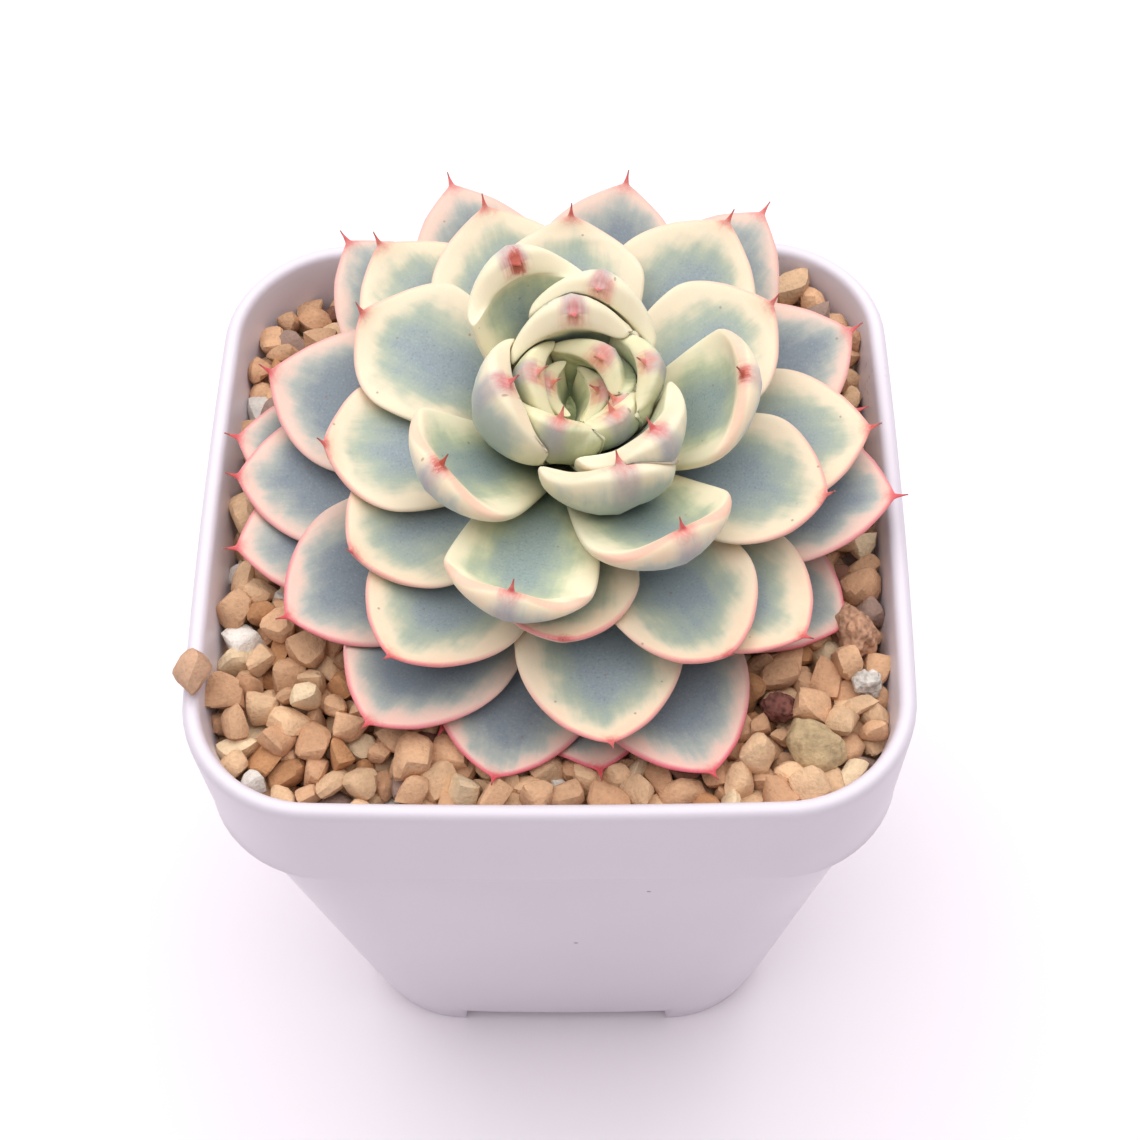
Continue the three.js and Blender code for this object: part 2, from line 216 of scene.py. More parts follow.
@dataclass(frozen=True)
class LeafFinish:
    """Living leaf skin under a waxy bloom: a grey-green middle, cream margins, a pink rim, and painted shade
    towards the root.

    The wax scatters light, so the skin is matt, and the flesh under it lets a little light through.
    """

    name: str
    middle: str
    halo: str
    cream: str
    peach: str
    rim: str
    back: str
    # root: painted shade, a darker green towards the leaf's root, where the leaves above shade it
    root: str
    cream_width: float = 2.3  # from the edge to where the cream starts to turn green
    green_depth: float = 5.2  # from the edge to where the middle has its full colour
    rim_width: float = 0.75
    thorn_length: float = 1.2
    tip_size: float = 1.9
    tip_red: str = "#cf4148"
    scar: str = "#b04a30"
    thorn: str = "#6e403c"
    smudge: str = "#9b94a3"
    speck: str = "#8c6a58"
    fleck: str = "#65737a"
    bloom: str = "#f4f4f1"
    vein_relief: float = 1.6  # how much stronger the veins stand out than the bloom
    relief_depth: float = 0.05
    light_depth: float = 1.6  # how far light travels in the flesh

    def build(self) -> bpy.types.Material:
        """Builds the finish.

        Returns:
            The material, which reads the leaf's own attributes.
        """
        material, tree, shader = new_material(self.name)
        read = {
            label: add_node(tree, "ShaderNodeAttribute", {}, attribute_name=f"leaf_{label}").outputs["Vector"]
            for label in ("place", "grain", "mood")
        }
        edge, share, _ = add_node(tree, "ShaderNodeSeparateXYZ", {0: read["place"]}).outputs
        sideways, to_go, _ = add_node(tree, "ShaderNodeSeparateXYZ", {0: read["grain"]}).outputs
        sun, facing, scarred = add_node(tree, "ShaderNodeSeparateXYZ", {0: read["mood"]}).outputs

        # How far a place is from the point's foot: the length of its distances to the side and along.
        from_tip = read["grain"]
        for operation, other in (
            ("SUBTRACT", (0, self.thorn_length, 0)),
            ("MAXIMUM", (-99, 0, 0)),
            ("MULTIPLY", (0.6, 1, 0)),
        ):
            from_tip = add_node(
                tree, "ShaderNodeVectorMath", {0: from_tip, 1: other}, operation=operation
            ).outputs[0]
        tip = add_node(tree, "ShaderNodeVectorMath", {0: from_tip}, operation="LENGTH").outputs["Value"]

        # Veins run along the blade, so the streaks are 1.5 mm across and about 10 mm long.
        stretched = add_node(
            tree, "ShaderNodeMapping", {"Vector": read["grain"], "Scale": (0.65, 0.1, 1)}
        ).outputs[0]
        streak, cloud, bloom, patch = (
            add_node(
                tree,
                "ShaderNodeTexNoise",
                {"Vector": where, "Scale": scale, "Detail": detail, "Roughness": coarse},
            ).outputs[0]
            for where, scale, detail, coarse in (
                (stretched, 1.0, 3.0, 0.6),
                (read["grain"], 0.17, 3.0, 0.6),
                (read["grain"], 3.6, 3.0, 0.6),
                (read["grain"], 0.9, 4.0, 0.7),
            )
        )
        specks = add_node(
            tree, "ShaderNodeTexVoronoi", {"Vector": read["grain"], "Scale": 0.33, "Randomness": 1.0}
        ).outputs[0]
        across = add_node(tree, "ShaderNodeMath", {0: sideways}, operation="ABSOLUTE").outputs[0]
        # Each is a noise times a width in millimetres, added to a distance. The ramps allow for its mean.
        depth, ragged_tip, ragged_across = (
            add_node(
                tree, "ShaderNodeMath", {0: noise, 1: width, 2: start}, operation="MULTIPLY_ADD"
            ).outputs[0]
            for noise, width, start in ((streak, 2.2, edge), (patch, 1.9, tip), (cloud, 2.2, across))
        )
        depth = add_node(
            tree, "ShaderNodeMath", {0: cloud, 1: 4.4, 2: depth}, operation="MULTIPLY_ADD"
        ).outputs[0]

        # How much of each layer shows: the value that is ramped, where it is none, where it is all, and all.
        ramps = {
            "green": (depth, self.cream_width + 3.3, self.green_depth + 3.3, 1.0),
            "halo": (depth, self.cream_width + 2.0, self.cream_width + 4.6, 1.0),
            "upper": (facing, -0.3, 0.1, 1.0),
            # painted shade: the root colour grows towards the stem, where the leaves crowd over one another
            "root": (share, 0.36, 0.06, 0.85),
            "sunny": (share, 0.5, 0.96, 1.0),
            "peach": (depth, 6.0, 3.4, 0.9),
            "rim": (edge, self.rim_width, self.rim_width * 0.15, 1.0),
            "pale": (depth, self.cream_width + 1.6, self.cream_width + 3.9, 0.9),
            "fleck": (bloom, 0.44, 0.3, 0.5),
            "point": (ragged_tip, self.tip_size + 1.5, 0.6, 0.9),
            "scar": (ragged_tip, 1.8, 1.3, 0.85),
            "thorn": (to_go, 0.8, 0.2, 0.6),
            "low": (ragged_tip, 7.5, 2.6, 0.6),
            "narrow": (ragged_across, 3.1, 1.6, 1.0),
            "speck": (specks, 0.07, 0.04, 0.55),
            "bloom": (bloom, 0.5, 0.8, 0.12),
        }
        amount = {
            label: add_node(
                tree, "ShaderNodeMapRange", {0: value, 1: none, 2: full, 4: most}, **SOFTENED
            ).outputs[0]
            for label, (value, none, full, most) in ramps.items()
        }
        for label, other in (
            ("sunny", sun),
            ("peach", "sunny"),
            ("rim", "sunny"),
            ("scar", scarred),
            ("low", "narrow"),
        ):
            factor = amount[other] if isinstance(other, str) else other
            amount[label] = add_node(
                tree, "ShaderNodeMath", {0: amount[label], 1: factor}, operation="MULTIPLY"
            ).outputs[0]

        def layered(under: Any, *layers: tuple[str, Any]) -> bpy.types.NodeSocket:
            """Lays colours over a first one, each by its own amount, and gives the last socket."""
            for label, over in layers:
                under = add_node(
                    tree,
                    "ShaderNodeMix",
                    {0: amount[label], MIX_A: under, MIX_B: linear(over) if isinstance(over, str) else over},
                    data_type="RGBA",
                ).outputs[MIX_OUT]
            return under

        middle = layered(linear(self.middle), ("fleck", self.fleck))
        top = layered(linear(self.cream), ("halo", self.halo), ("green", middle))
        under = layered(linear(self.cream), ("pale", self.back), ("low", self.smudge))
        skin = layered(
            under,
            ("upper", top),
            # painted shade near the root
            ("root", self.root),
            ("peach", self.peach),
            ("rim", self.rim),
            ("point", self.tip_red),
            ("scar", self.scar),
            ("thorn", self.thorn),
            ("speck", self.speck),
            ("bloom", self.bloom),
        )
        roughness = add_node(
            tree, "ShaderNodeMapRange", {0: bloom, 1: 0.2, 2: 0.8, 3: 0.46, 4: 0.62}
        ).outputs[0]
        relief = add_node(
            tree, "ShaderNodeMath", {0: streak, 1: self.vein_relief, 2: bloom}, operation="MULTIPLY_ADD"
        ).outputs[0]
        bump = add_node(
            tree, "ShaderNodeBump", {"Strength": 0.3, "Distance": self.relief_depth * MM, "Height": relief}
        )
        feed(
            shader,
            {
                "Base Color": skin,
                "Roughness": roughness,
                "Normal": bump.outputs[0],
                "IOR": 1.42,
                "Subsurface Weight": 0.2,
                "Subsurface Radius": (1.0, 0.62, 0.4),
                "Subsurface Scale": self.light_depth * MM,
                "Sheen Weight": 0.1,
                "Sheen Roughness": 0.6,
            },
        )
        return material


class LeafAge(Enum):
    """How long a leaf has stood in the sun, which sets its colours."""

    # Each age's root colour is painted shade, laid towards the leaf's root where the leaves above shade it.
    NEW = LeafFinish(
        "new_leaf_skin",
        middle="#8b987a",
        halo="#b3ba88",
        cream="#e2dcb4",
        peach="#ebcba0",
        rim="#e8a68e",
        back="#b0b792",
        root="#5f7148",
        cream_width=1.4,
        green_depth=4.4,
        rim_width=0.4,
        tip_size=0.9,
        tip_red="#dc6a58",
    )
    YOUNG = LeafFinish(
        "young_leaf_skin",
        middle="#8c9c98",
        halo="#bcc4a0",
        cream="#eee5c4",
        peach="#f0c9a8",
        rim="#eaa594",
        back="#aebbb4",
        root="#5f7148",
        cream_width=2.4,
        green_depth=5.8,
        rim_width=0.5,
        tip_size=0.9,
    )
    GROWN = LeafFinish(
        "grown_leaf_skin",
        middle="#8d9a9f",
        halo="#aeb7a0",
        cream="#ebdabd",
        peach="#efc5a6",
        rim="#e5747f",
        back="#b4bdbf",
        root="#58693f",
        cream_width=2.7,
        green_depth=6.3,
        rim_width=0.7,
        tip_size=1.3,
    )
    OLD = LeafFinish(
        "old_leaf_skin",
        middle="#808a92",
        halo="#acb0a6",
        cream="#e3c8b6",
        peach="#e9b9ab",
        rim="#dc6676",
        back="#a9b1b5",
        root="#55624c",
        cream_width=1.8,
        green_depth=5.0,
        rim_width=0.8,
        tip_size=1.5,
    )


@dataclass(frozen=True)
class MouldedPotPlastic:
    """Injection-moulded white polypropylene: satin, with a faint orange peel, and potting dust on it."""

    colour: str = "#e0d8df"
    shade: str = "#dbd2da"
    speck: str = "#5d5753"
    dust: str = "#a98a6e"
    peel_depth: float = 0.05
    light_depth: float = 1.5  # how far light travels in the wall

    def build(self) -> bpy.types.Material:
        """Builds the finish.

        Returns:
            The material, on Object coordinates.
        """
        material, tree, shader = new_material("moulded_pot_plastic")
        where = add_node(tree, "ShaderNodeTexCoord", {}).outputs["Object"]
        sideways, _, upward = add_node(tree, "ShaderNodeSeparateXYZ", {0: where}).outputs
        # Tint in clouds 35 mm across, dust in patches 20 mm across, and orange peel 1 mm across.
        tint, patch, peel = (
            add_node(
                tree, "ShaderNodeTexNoise", {"Vector": where, "Scale": scale, "Detail": detail}
            ).outputs[0]
            for scale, detail in ((28.0, 2.0), (46.0, 1.0), (900.0, 2.0))
        )
        # One speck to every 16 mm, and one crumb to every 1.1 mm.
        specks, crumbs = (
            add_node(tree, "ShaderNodeTexVoronoi", {"Vector": where, "Scale": scale}).outputs[0]
            for scale in (62.0, 900.0)
        )
        # The value that is ramped, where it is none, where it is all, and all. Specks are 0.5 mm across, and
        # gravel dust is caught on the rim: in patches on its top few millimetres, and only to the right.
        speck, high, right, patchy, crumb = (
            add_node(
                tree, "ShaderNodeMapRange", {0: value, 1: none, 2: full, 4: most}, **SOFTENED
            ).outputs[0]
            for value, none, full, most in (
                (specks, 0.022, 0.014, 0.8),
                (upward, 76 * MM, 84 * MM, 1.0),
                (sideways, 18 * MM, 32 * MM, 1.0),
                (patch, 0.54, 0.68, 1.0),
                (crumbs, 0.3, 0.18, 1.0),
            )
        )
        dusty = high
        for share in (right, patchy, crumb):
            dusty = add_node(tree, "ShaderNodeMath", {0: dusty, 1: share}, operation="MULTIPLY").outputs[0]
        colour: Any = linear(self.colour)
        for amount, over in ((tint, self.shade), (speck, self.speck), (dusty, self.dust)):
            colour = add_node(
                tree, "ShaderNodeMix", {0: amount, MIX_A: colour, MIX_B: linear(over)}, data_type="RGBA"
            ).outputs[MIX_OUT]
        rubbed = add_node(tree, "ShaderNodeMapRange", {0: tint, 1: 0.3, 2: 0.7, 3: 0.3, 4: 0.42}).outputs[0]
        roughness = add_node(
            tree, "ShaderNodeMath", {0: dusty, 1: 0.4, 2: rubbed}, operation="MULTIPLY_ADD"
        ).outputs[0]
        bump = add_node(
            tree, "ShaderNodeBump", {"Strength": 0.12, "Distance": self.peel_depth * MM, "Height": peel}
        )
        feed(
            shader,
            {
                "Base Color": colour,
                "Roughness": roughness,
                "Normal": bump.outputs[0],
                "IOR": 1.49,
                "Subsurface Weight": 0.1,
                "Subsurface Radius": (1.0, 0.9, 0.95),
                "Subsurface Scale": self.light_depth * MM,
            },
        )
        return material


@dataclass(frozen=True)
class PorousStone:
    """Dry fired clay and pumice: chalky and gritty, with fine pits darkened by painted shade, each grain its
    own colour.
    """

    name: str
    pit_size: float = 0.5
    # darkening of the pits: painted shade in their hollows
    pit_shading: float = 0.1
    staining: float = 0.14
    relief_depth: float = 0.2

    def build(self) -> bpy.types.Material:
        """Builds the finish.

        Returns:
            The material, whose colour is the grain's own attribute.
        """
        material, tree, shader = new_material(self.name)
        where = add_node(tree, "ShaderNodeTexCoord", {}).outputs["Object"]
        own = add_node(tree, "ShaderNodeAttribute", {}, attribute_name="grain_colour").outputs["Color"]
        # Stains about 2 mm across, and grit about 0.3 mm across.
        stain, grit = (
            add_node(
                tree, "ShaderNodeTexNoise", {"Vector": where, "Scale": scale, "Detail": 4.0, "Roughness": 0.7}
            ).outputs[0]
            for scale in (480.0, 3200.0)
        )
        pits = add_node(
            tree, "ShaderNodeTexVoronoi", {"Vector": where, "Scale": 1 / (self.pit_size * MM)}
        ).outputs[0]
        # How much of its colour is left: the pattern's low and high values, and the shares there. The pits'
        # share is painted shade in their hollows.
        tone, pit, grain = (
            add_node(
                tree, "ShaderNodeMapRange", {0: pattern, 1: low, 2: high, 3: least, 4: most}
            ).outputs[0]
            for pattern, low, high, least, most in (
                (stain, 0.3, 0.7, 1 - self.staining, 1.12),
                (pits, 0.1, 0.6, 1 - self.pit_shading, 1.0),
                (grit, 0.3, 0.7, 0.93, 1.05),
            )
        )
        colour: Any = own
        for amount in (tone, pit, grain):
            colour = add_node(
                tree, "ShaderNodeVectorMath", {0: colour, "Scale": amount}, operation="SCALE"
            ).outputs[0]
        relief = grit
        for pattern, strength in ((pit, 2.0), (stain, 1.6)):
            relief = add_node(
                tree, "ShaderNodeMath", {0: pattern, 1: strength, 2: relief}, operation="MULTIPLY_ADD"
            ).outputs[0]
        bump = add_node(
            tree, "ShaderNodeBump", {"Strength": 0.8, "Distance": self.relief_depth * MM, "Height": relief}
        )
        feed(
            shader,
            {
                "Base Color": colour,
                "Normal": bump.outputs[0],
                "Roughness": 0.92,
                "IOR": 1.45,
                "Specular IOR Level": 0.3,
            },
        )
        return material


@dataclass(frozen=True)
class GroundMatter:
    """Crumbly or corky matter, for the potting mix and the stem: dark, matt and rough."""

    name: str
    dark: str
    light: str
    crumb_size: float
    relief_depth: float = 0.4

    def build(self) -> bpy.types.Material:
        """Builds the finish.

        Returns:
            The material, on Object coordinates.
        """
        material, tree, shader = new_material(self.name)
        where = add_node(tree, "ShaderNodeTexCoord", {}).outputs["Object"]
        crumbs = add_node(
            tree,
            "ShaderNodeTexNoise",
            {"Vector": where, "Scale": 1 / (self.crumb_size * MM), "Detail": 6.0, "Roughness": 0.7},
        ).outputs[0]
        shade = add_node(tree, "ShaderNodeMapRange", {0: crumbs, 1: 0.35, 2: 0.68}, **SOFTENED).outputs[0]
        colour = add_node(
            tree,
            "ShaderNodeMix",
            {0: shade, MIX_A: linear(self.dark), MIX_B: linear(self.light)},
            data_type="RGBA",
        )
        bump = add_node(
            tree, "ShaderNodeBump", {"Strength": 0.9, "Distance": self.relief_depth * MM, "Height": crumbs}
        )
        feed(
            shader,
            {"Base Color": colour.outputs[MIX_OUT], "Normal": bump.outputs[0], "Roughness": 0.95},
        )
        return material


# -------------------------------------------------------------------------------------------------------- pot


@dataclass
class Pot:
    """The square pot: a deep collar with a soft lip over a body that tapers to four corner feet."""

    rim_corner: float = 15.0
    rim_wall: float = 2.0
    lip_round: float = 1.0
    collar_height: float = 17.5
    collar_draft: float = 0.7
    collar_step: float = 1.6
    shoulder: tuple[tuple[float, float], ...] = (  # out from the body and up, round the collar's lower edge
        (0.05, -0.35),
        (0.25, 0.0),
        (0.6, 0.08),
        (1.0, 0.12),
        (1.35, 0.3),
        (1.55, 0.75),
    )
    body_wall: float = 1.6
    base_side: float = 56.0
    base_corner: float = 14.0
    floor_thickness: float = 1.8
    foot_height: float = 2.8
    foot_wall: float = 3.0
    foot_round: float = 0.5
    notch_width: float = 27.5
    drain_radius: float = 2.5
    drain_spacing: float = 15.0
    drill_span: tuple[float, float] = (1.0, 7.0)
    drill_steps: int = 32
    crease_degrees: float = 42.0
    bow: float = 0.35  # how far each side swells between its corners
    arc_steps: int = 14
    side_steps: int = 12

    def __post_init__(self) -> None:
        """Reads the rim's half width and the height from the CAD pot."""
        _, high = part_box("pot")
        self.rim_half: float = high.x / MM
        self.height: float = high.z / MM

    def ring(self, half: float, corner: float, height: float, drop: np.ndarray | None = None) -> np.ndarray:
        """Works out a square ring with round corners.

        Each quarter is an arc about the corner's centre, then the straight side, which swells outwards by
        the bow times 1 - t^2, where t runs from -1 to 1 along it.

        Args:
            half: Half the ring's width.
            corner: Radius of the corners.
            height: Height of the ring.
            drop: Amount taken from the height of each point.

        Returns:
            The ring's points, counter-clockwise from above.
        """
        turn = np.linspace(0, np.pi / 2, self.arc_steps + 1)
        inset = half - corner
        arc = np.stack([inset + corner * np.cos(turn), inset + corner * np.sin(turn)], -1)
        notch = self.notch_width / 2 / (self.base_side / 2 - self.base_corner)
        along = notch * np.cos(np.linspace(0, np.pi, self.side_steps))
        swell = self.bow * (1 - along**2) * min(1.0, half / self.rim_half)
        side = np.stack([inset * along, half + swell], -1)
        quarter = np.vstack([arc, side])
        spin = np.array([[0, 1], [-1, 0]])
        points = [quarter]
        for _ in range(3):
            points.append(points[-1] @ spin)
        flat = np.vstack(points)
        heights = np.full(len(flat), height) if drop is None else height - drop
        return np.column_stack([flat, heights])

    def foot_mask(self) -> np.ndarray:
        """Gives 1 at the points of a ring that lie on a corner foot, and 0 over the openings between."""
        quarter = np.r_[np.ones(self.arc_steps + 1), np.zeros(self.side_steps)]
        return np.tile(quarter, 4)

    def body_at(self, height: float) -> tuple[float, float]:
        """Gives the body's half width and corner radius, which grow in proportion to the height."""
        collar = self.height - self.collar_height
        share = height / collar
        top_half = self.rim_half - self.collar_draft - self.collar_step
        top_corner = self.rim_corner - self.collar_step
        half = self.base_side / 2 + (top_half - self.base_side / 2) * share
        return half, self.base_corner + (top_corner - self.base_corner) * share

    def rings(self) -> np.ndarray:
        """Carries the wall's section round the pot.

        The section starts in the middle of the underside, runs out under the floor, round a foot, up the
        outside, over the collar's step and lip, and down the inside to the middle of the floor.

        Returns:
            The rings, first to last.
        """
        under = self.foot_height
        hang = 0.05  # how far the openings' edges hang under the underside
        foot = self.foot_mask() * (under - hang)
        base_half, base_corner = self.body_at(0)
        inner, inner_corner = base_half - self.foot_wall, base_corner - self.foot_wall
        rings = [self.ring(inner * s, inner_corner * s, under) for s in (0.1, 0.4, 0.7, 0.97)]
        edge = self.foot_round
        rings.append(self.ring(inner, inner_corner, under, foot * 0.1))
        rings.append(self.ring(inner, inner_corner, under - 0.02, foot * 0.85))
        rings.append(self.ring(inner + edge, inner_corner + edge, under - hang, foot))
        rings.append(self.ring(base_half - edge, base_corner - edge, under - hang, foot))
        rings.append(self.ring(base_half - 0.1, base_corner, under + 0.1, foot * 0.88))
        collar = self.height - self.collar_height
        for height in np.linspace(6, collar - 1.2, 14):
            rings.append(self.ring(*self.body_at(height), height))
        top_half, top_corner = self.body_at(collar)
        lower = self.rim_half - self.collar_draft
        for out, up in self.shoulder:
            rings.append(self.ring(top_half + out, top_corner + out * 0.6, collar + up))
        for share in np.linspace(0.06, 1, 8):
            height = collar + 1 + share * (self.collar_height - 1 - self.lip_round * 1.6)
            rings.append(self.ring(lower + self.collar_draft * share, self.rim_corner, height))
        crown = self.height - self.lip_round
        middle = self.rim_half - self.rim_wall / 2
        for turn in np.radians(np.arange(10, 175, 18)):
            reach = middle + self.rim_wall / 2 * np.cos(turn)
            height = crown + self.lip_round * np.sin(turn)
            rings.append(self.ring(reach, self.rim_corner + reach - self.rim_half, height))
        inside = collar + self.body_wall
        inner_top = self.rim_half - self.rim_wall
        for height in np.linspace(crown - 1, inside, 7):
            share = (height - inside) / (self.height - inside)
            half = top_half - self.body_wall + (inner_top - top_half + self.body_wall) * share
            rings.append(self.ring(half, self.rim_corner - self.rim_wall - (1 - share), height))
        floor = self.foot_height + self.floor_thickness
        for height in (*np.linspace(inside - 2, floor + 1.5, 8), floor + 0.3):
            half, corner = self.body_at(height)
            rings.append(self.ring(half - self.body_wall, corner - self.body_wall, height))
        half, corner = self.body_at(floor)
        half, corner = half - self.body_wall - 0.4, corner - self.body_wall - 0.4
        rings += [self.ring(half * s, corner * s, floor) for s in (1.0, 0.7, 0.4, 0.1)]
        return np.array(rings)

    def drill(self, pot: bpy.types.Object) -> None:
        """Cuts the drain holes through the floor, and leaves no modifier and no drill behind.

        Args:
            pot: The pot's object.
        """
        turn = (np.arange(4) + 0.5) * np.pi / 2
        centres = np.vstack([[0, 0], self.drain_spacing * np.column_stack([np.cos(turn), np.sin(turn)])])
        around = np.arange(self.drill_steps) * 2 * np.pi / self.drill_steps
        circle = self.drain_radius * np.column_stack([np.cos(around), np.sin(around)])
        drills = []
        for k, centre in enumerate(centres):
            ends = [np.full(self.drill_steps, height) for height in self.drill_span]
            rings = np.array([np.column_stack([circle + centre, end]) for end in ends])
            points, faces = closed_skin(rings)
            drills.append(make_piece(f"drill_{k}", points, faces, pot.data.materials[0]))
        for drill in drills:
            cut = pot.modifiers.new(drill.name, "BOOLEAN")
            cut.object, cut.operation, cut.solver = drill, "DIFFERENCE", "EXACT"
        bpy.context.view_layer.update()
        solved = pot.evaluated_get(bpy.context.evaluated_depsgraph_get())
        mesh = bpy.data.meshes.new_from_object(solved)
        pot.modifiers.clear()
        pot.data = mesh
        for drill in drills:
            bpy.data.objects.remove(drill)
        mesh.set_sharp_from_angle(angle=math.radians(self.crease_degrees))

    def build(self) -> None:
        """Makes the pot and puts it in place of the plain CAD one."""
        points, faces = closed_skin(self.rings())
        finish = MouldedPotPlastic().build()
        pot = make_piece("moulded_pot", points, faces, finish, sharp_degrees=self.crease_degrees)
        self.drill(pot)
        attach(pot, BODY)
        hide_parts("pot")


# ------------------------------------------------------------------------------------------------------ plant


@dataclass(frozen=True)
class LeafForm:
    """The shape that a group of rings shares; widths and lengths are shares unless they end in _mm."""

    root_width: float
    widest_at: float
    tip_pull: float  # how far the end's slope carries back
    end_power: float  # how late the blade narrows
    end_root: float  # how pointed it ends: 0.5 is round, 1 is a wedge
    flare_mm: float  # half width of the concave sweep into the point
    flare_length_mm: float
    fullness: float  # the section's superellipse power: 2 is an ellipse, more is blunter
    end_thickness: float


SHELL = LeafForm(0.64, 0.7, 0.34, 2.5, 0.5, 1.5, 3.0, 3.0, 0.85)
SPOON = LeafForm(0.5, 0.64, 0.32, 2.3, 0.52, 1.8, 3.4, 2.6, 0.75)
PADDLE = LeafForm(0.46, 0.58, 0.26, 1.8, 0.9, 2.3, 4.6, 2.1, 0.5)


@dataclass(frozen=True)
class Ring:
    """What the leaves of one ring share: millimetres, degrees, and cup as a share of the width."""

    name: str
    width: float
    thick: float
    cup: float
    root_angle: float
    tip_angle: float
    sun: float  # how much pink the ring takes
    form: LeafForm
    age: LeafAge
    slot: str
    leaves: tuple[tuple[float, float, float], ...]  # bearing, reach from the axis, and rise over the rim


@dataclass
class Plant:
    """The leaning plant: a short stem, and leaves on it in a close spiral, youngest on top."""

    x: float = 1.5
    y: float = 4.5
    lean: float = 5.0
    nod: float = 8.0
    stem_radius: float = 5.5
    stem_rise: float = 14.5
    stem_dome: float = 4.0
    stem_down: float = 24.0
    first_leaf: float = 1.3
    leaf_pitch: float = 0.4
    mucro_length: float = 1.6
    mucro_width: float = 0.16
    mucro_thickness: float = 0.16
    root_push: float = 0.36  # how far the slope at the root carries, as a share of the leaf's length
    crowding: float = 1.5  # how closely the rows stand near the point: 1 is evenly
    # The least and the most of a leaf's share of its width, roll in radians, sway, and ripple's phase.
    least: tuple[float, ...] = (0.98, -0.05, -0.5, 0)
    most: tuple[float, ...] = (1.03, 0.05, 0.5, 2 * math.pi)
    root_flesh: float = 0.6  # thickness at the root, as a share
    keel_depth: float = 0.1
    keel_width: float = 0.3
    ripple: float = 0.14
    sun_mean: float = 0.62
    sun_front: float = 0.38  # how much more of the sun the front leaves have
    sun_range: tuple[float, float] = (0.85, 1.15)
    pattern_step: float = 7.3  # keeps one leaf's patterns clear of the next one's
    press_gap: float = 0.25  # kept between a pressed leaf and the younger one on it
    press_from: float = 5.0  # how far under the leaf the test lines start
    press_fades: int = 10
    free_rows: int = 4  # rows at the root that are never pressed
    stem_rows: int = 60
    stem_columns: int = 48
    stem_under: float = 0.15  # how far the skin lies under the nominal radius
    scar_height: float = 0.12
    rows: int = 40
    point_rows: int = 8
    columns: int = 40
    seed: int = 11
    scarred: tuple[str, ...] = ("leaf_crown_01", "leaf_crown_02", "leaf_bud_06")
    rings: tuple[Ring, ...] = (
        Ring("core", 6.8, 2.6, 0.3, 66, 132, 0.05, SHELL, LeafAge.NEW, "leaf_young",
             ((3, 1.5, 20), (182, 1.7, 21.5), (332, 3.7, 22))),
        Ring("heart", 10.4, 3.1, 0.3, 50, 130, 0.05, SHELL, LeafAge.NEW, "leaf_young",
             ((42, 2.3, 23.5), (310, 4.8, 23.5), (182, 3.3, 24), (7, 6.2, 25), (253, 5.3, 24.5))),
        Ring("bud", 14.2, 4.0, 0.3, 34, 136, 0.2, SHELL, LeafAge.YOUNG, "leaf_young",
             ((96, 4.8, 26), (315, 9.9, 26), (199, 6.7, 25.5), (77, 8.3, 26), (291, 10.9, 24.5),
              (118, 13.2, 25))),
        Ring("crown", 15.8, 3.2, 0.18, 28, 124, 0.6, SPOON, LeafAge.YOUNG, "leaf_young",
             ((219, 17.4, 23.7), (359, 16.7, 25.6), (300, 20.8, 25), (255, 24.6, 21))),
        Ring("upper", 17.0, 2.9, 0.16, 30, 64, 0.7, PADDLE, LeafAge.GROWN, "leaf_variegated",
             ((91, 25.1, 17.7), (31, 26.6, 18.3), (152, 27.6, 14.3), (340, 30, 17.1), (188, 28.1, 13.3),
              (268, 28.3, 16.1), (215, 29.4, 12.4), (300, 33.7, 15.7))),
        Ring("middle", 17.9, 2.8, 0.13, 18, 48, 0.8, PADDLE, LeafAge.GROWN, "leaf_variegated",
             ((55, 32, 16.2), (110, 30.9, 13.2), (360, 34.4, 14.2), (236, 35.1, 11.5), (132, 34.4, 9.6),
              (277, 38.4, 10.9), (315, 36.6, 13))),
        Ring("lower", 18.8, 2.7, 0.11, 8, 38, 0.95, PADDLE, LeafAge.OLD, "leaf_mature",
             ((79, 34.7, 12), (24, 36.8, 10.9), (164, 37, 4.6), (349, 38.2, 11.2), (215, 38.6, 5.4),
              (184, 38.8, 2.1), (238, 41.2, 6.1), (292, 43, 7), (259, 40.8, 4))),
        Ring("base", 18.4, 2.4, 0.09, 0, 26, 1.0, PADDLE, LeafAge.OLD, "leaf_mature",
             ((54, 40.5, 8.6), (112, 39.2, 6.8), (132, 40.8, 2.5), (175, 39.5, 0.2), (197, 40.1, 1),
              (327, 38.5, 4.4), (11, 35.5, 6), (222, 34, 1.6), (248, 36.5, 1.8), (276, 39, 2.8))),
    )
    younger: list[tuple[BVHTree, np.ndarray, np.ndarray]] = field(default_factory=list)
    leaves: list[bpy.types.Object] = field(default_factory=list)

    def __post_init__(self) -> None:
        """Sets the plant's own frame, whose origin is level with the rim."""
        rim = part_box("pot")[1].z / MM
        nod = Matrix.Rotation(math.radians(self.nod), 4, "X")
        lean = Matrix.Rotation(math.radians(self.lean), 4, "Y")
        self.matrix = np.array(Matrix.Translation((self.x, self.y, rim)) @ (nod @ lean))

    def to_world(self, points: np.ndarray) -> np.ndarray:
        """Moves points from the plant's frame into the part's frame."""
        return points @ self.matrix[:3, :3].T + self.matrix[:3, 3]

    def stem_surface(self, along: float) -> np.ndarray:
        """Gives the distance from the axis and the height of the stem, a way down from its tip.

        The tip is a quarter ellipse, and the stem under it is a straight post.
        """
        shoulder = self.stem_rise - self.stem_dome
        if along >= self.stem_radius:
            return np.array([self.stem_radius, shoulder - (along - self.stem_radius)])
        return np.array([along, shoulder + self.stem_dome * math.sqrt(1 - (along / self.stem_radius) ** 2)])

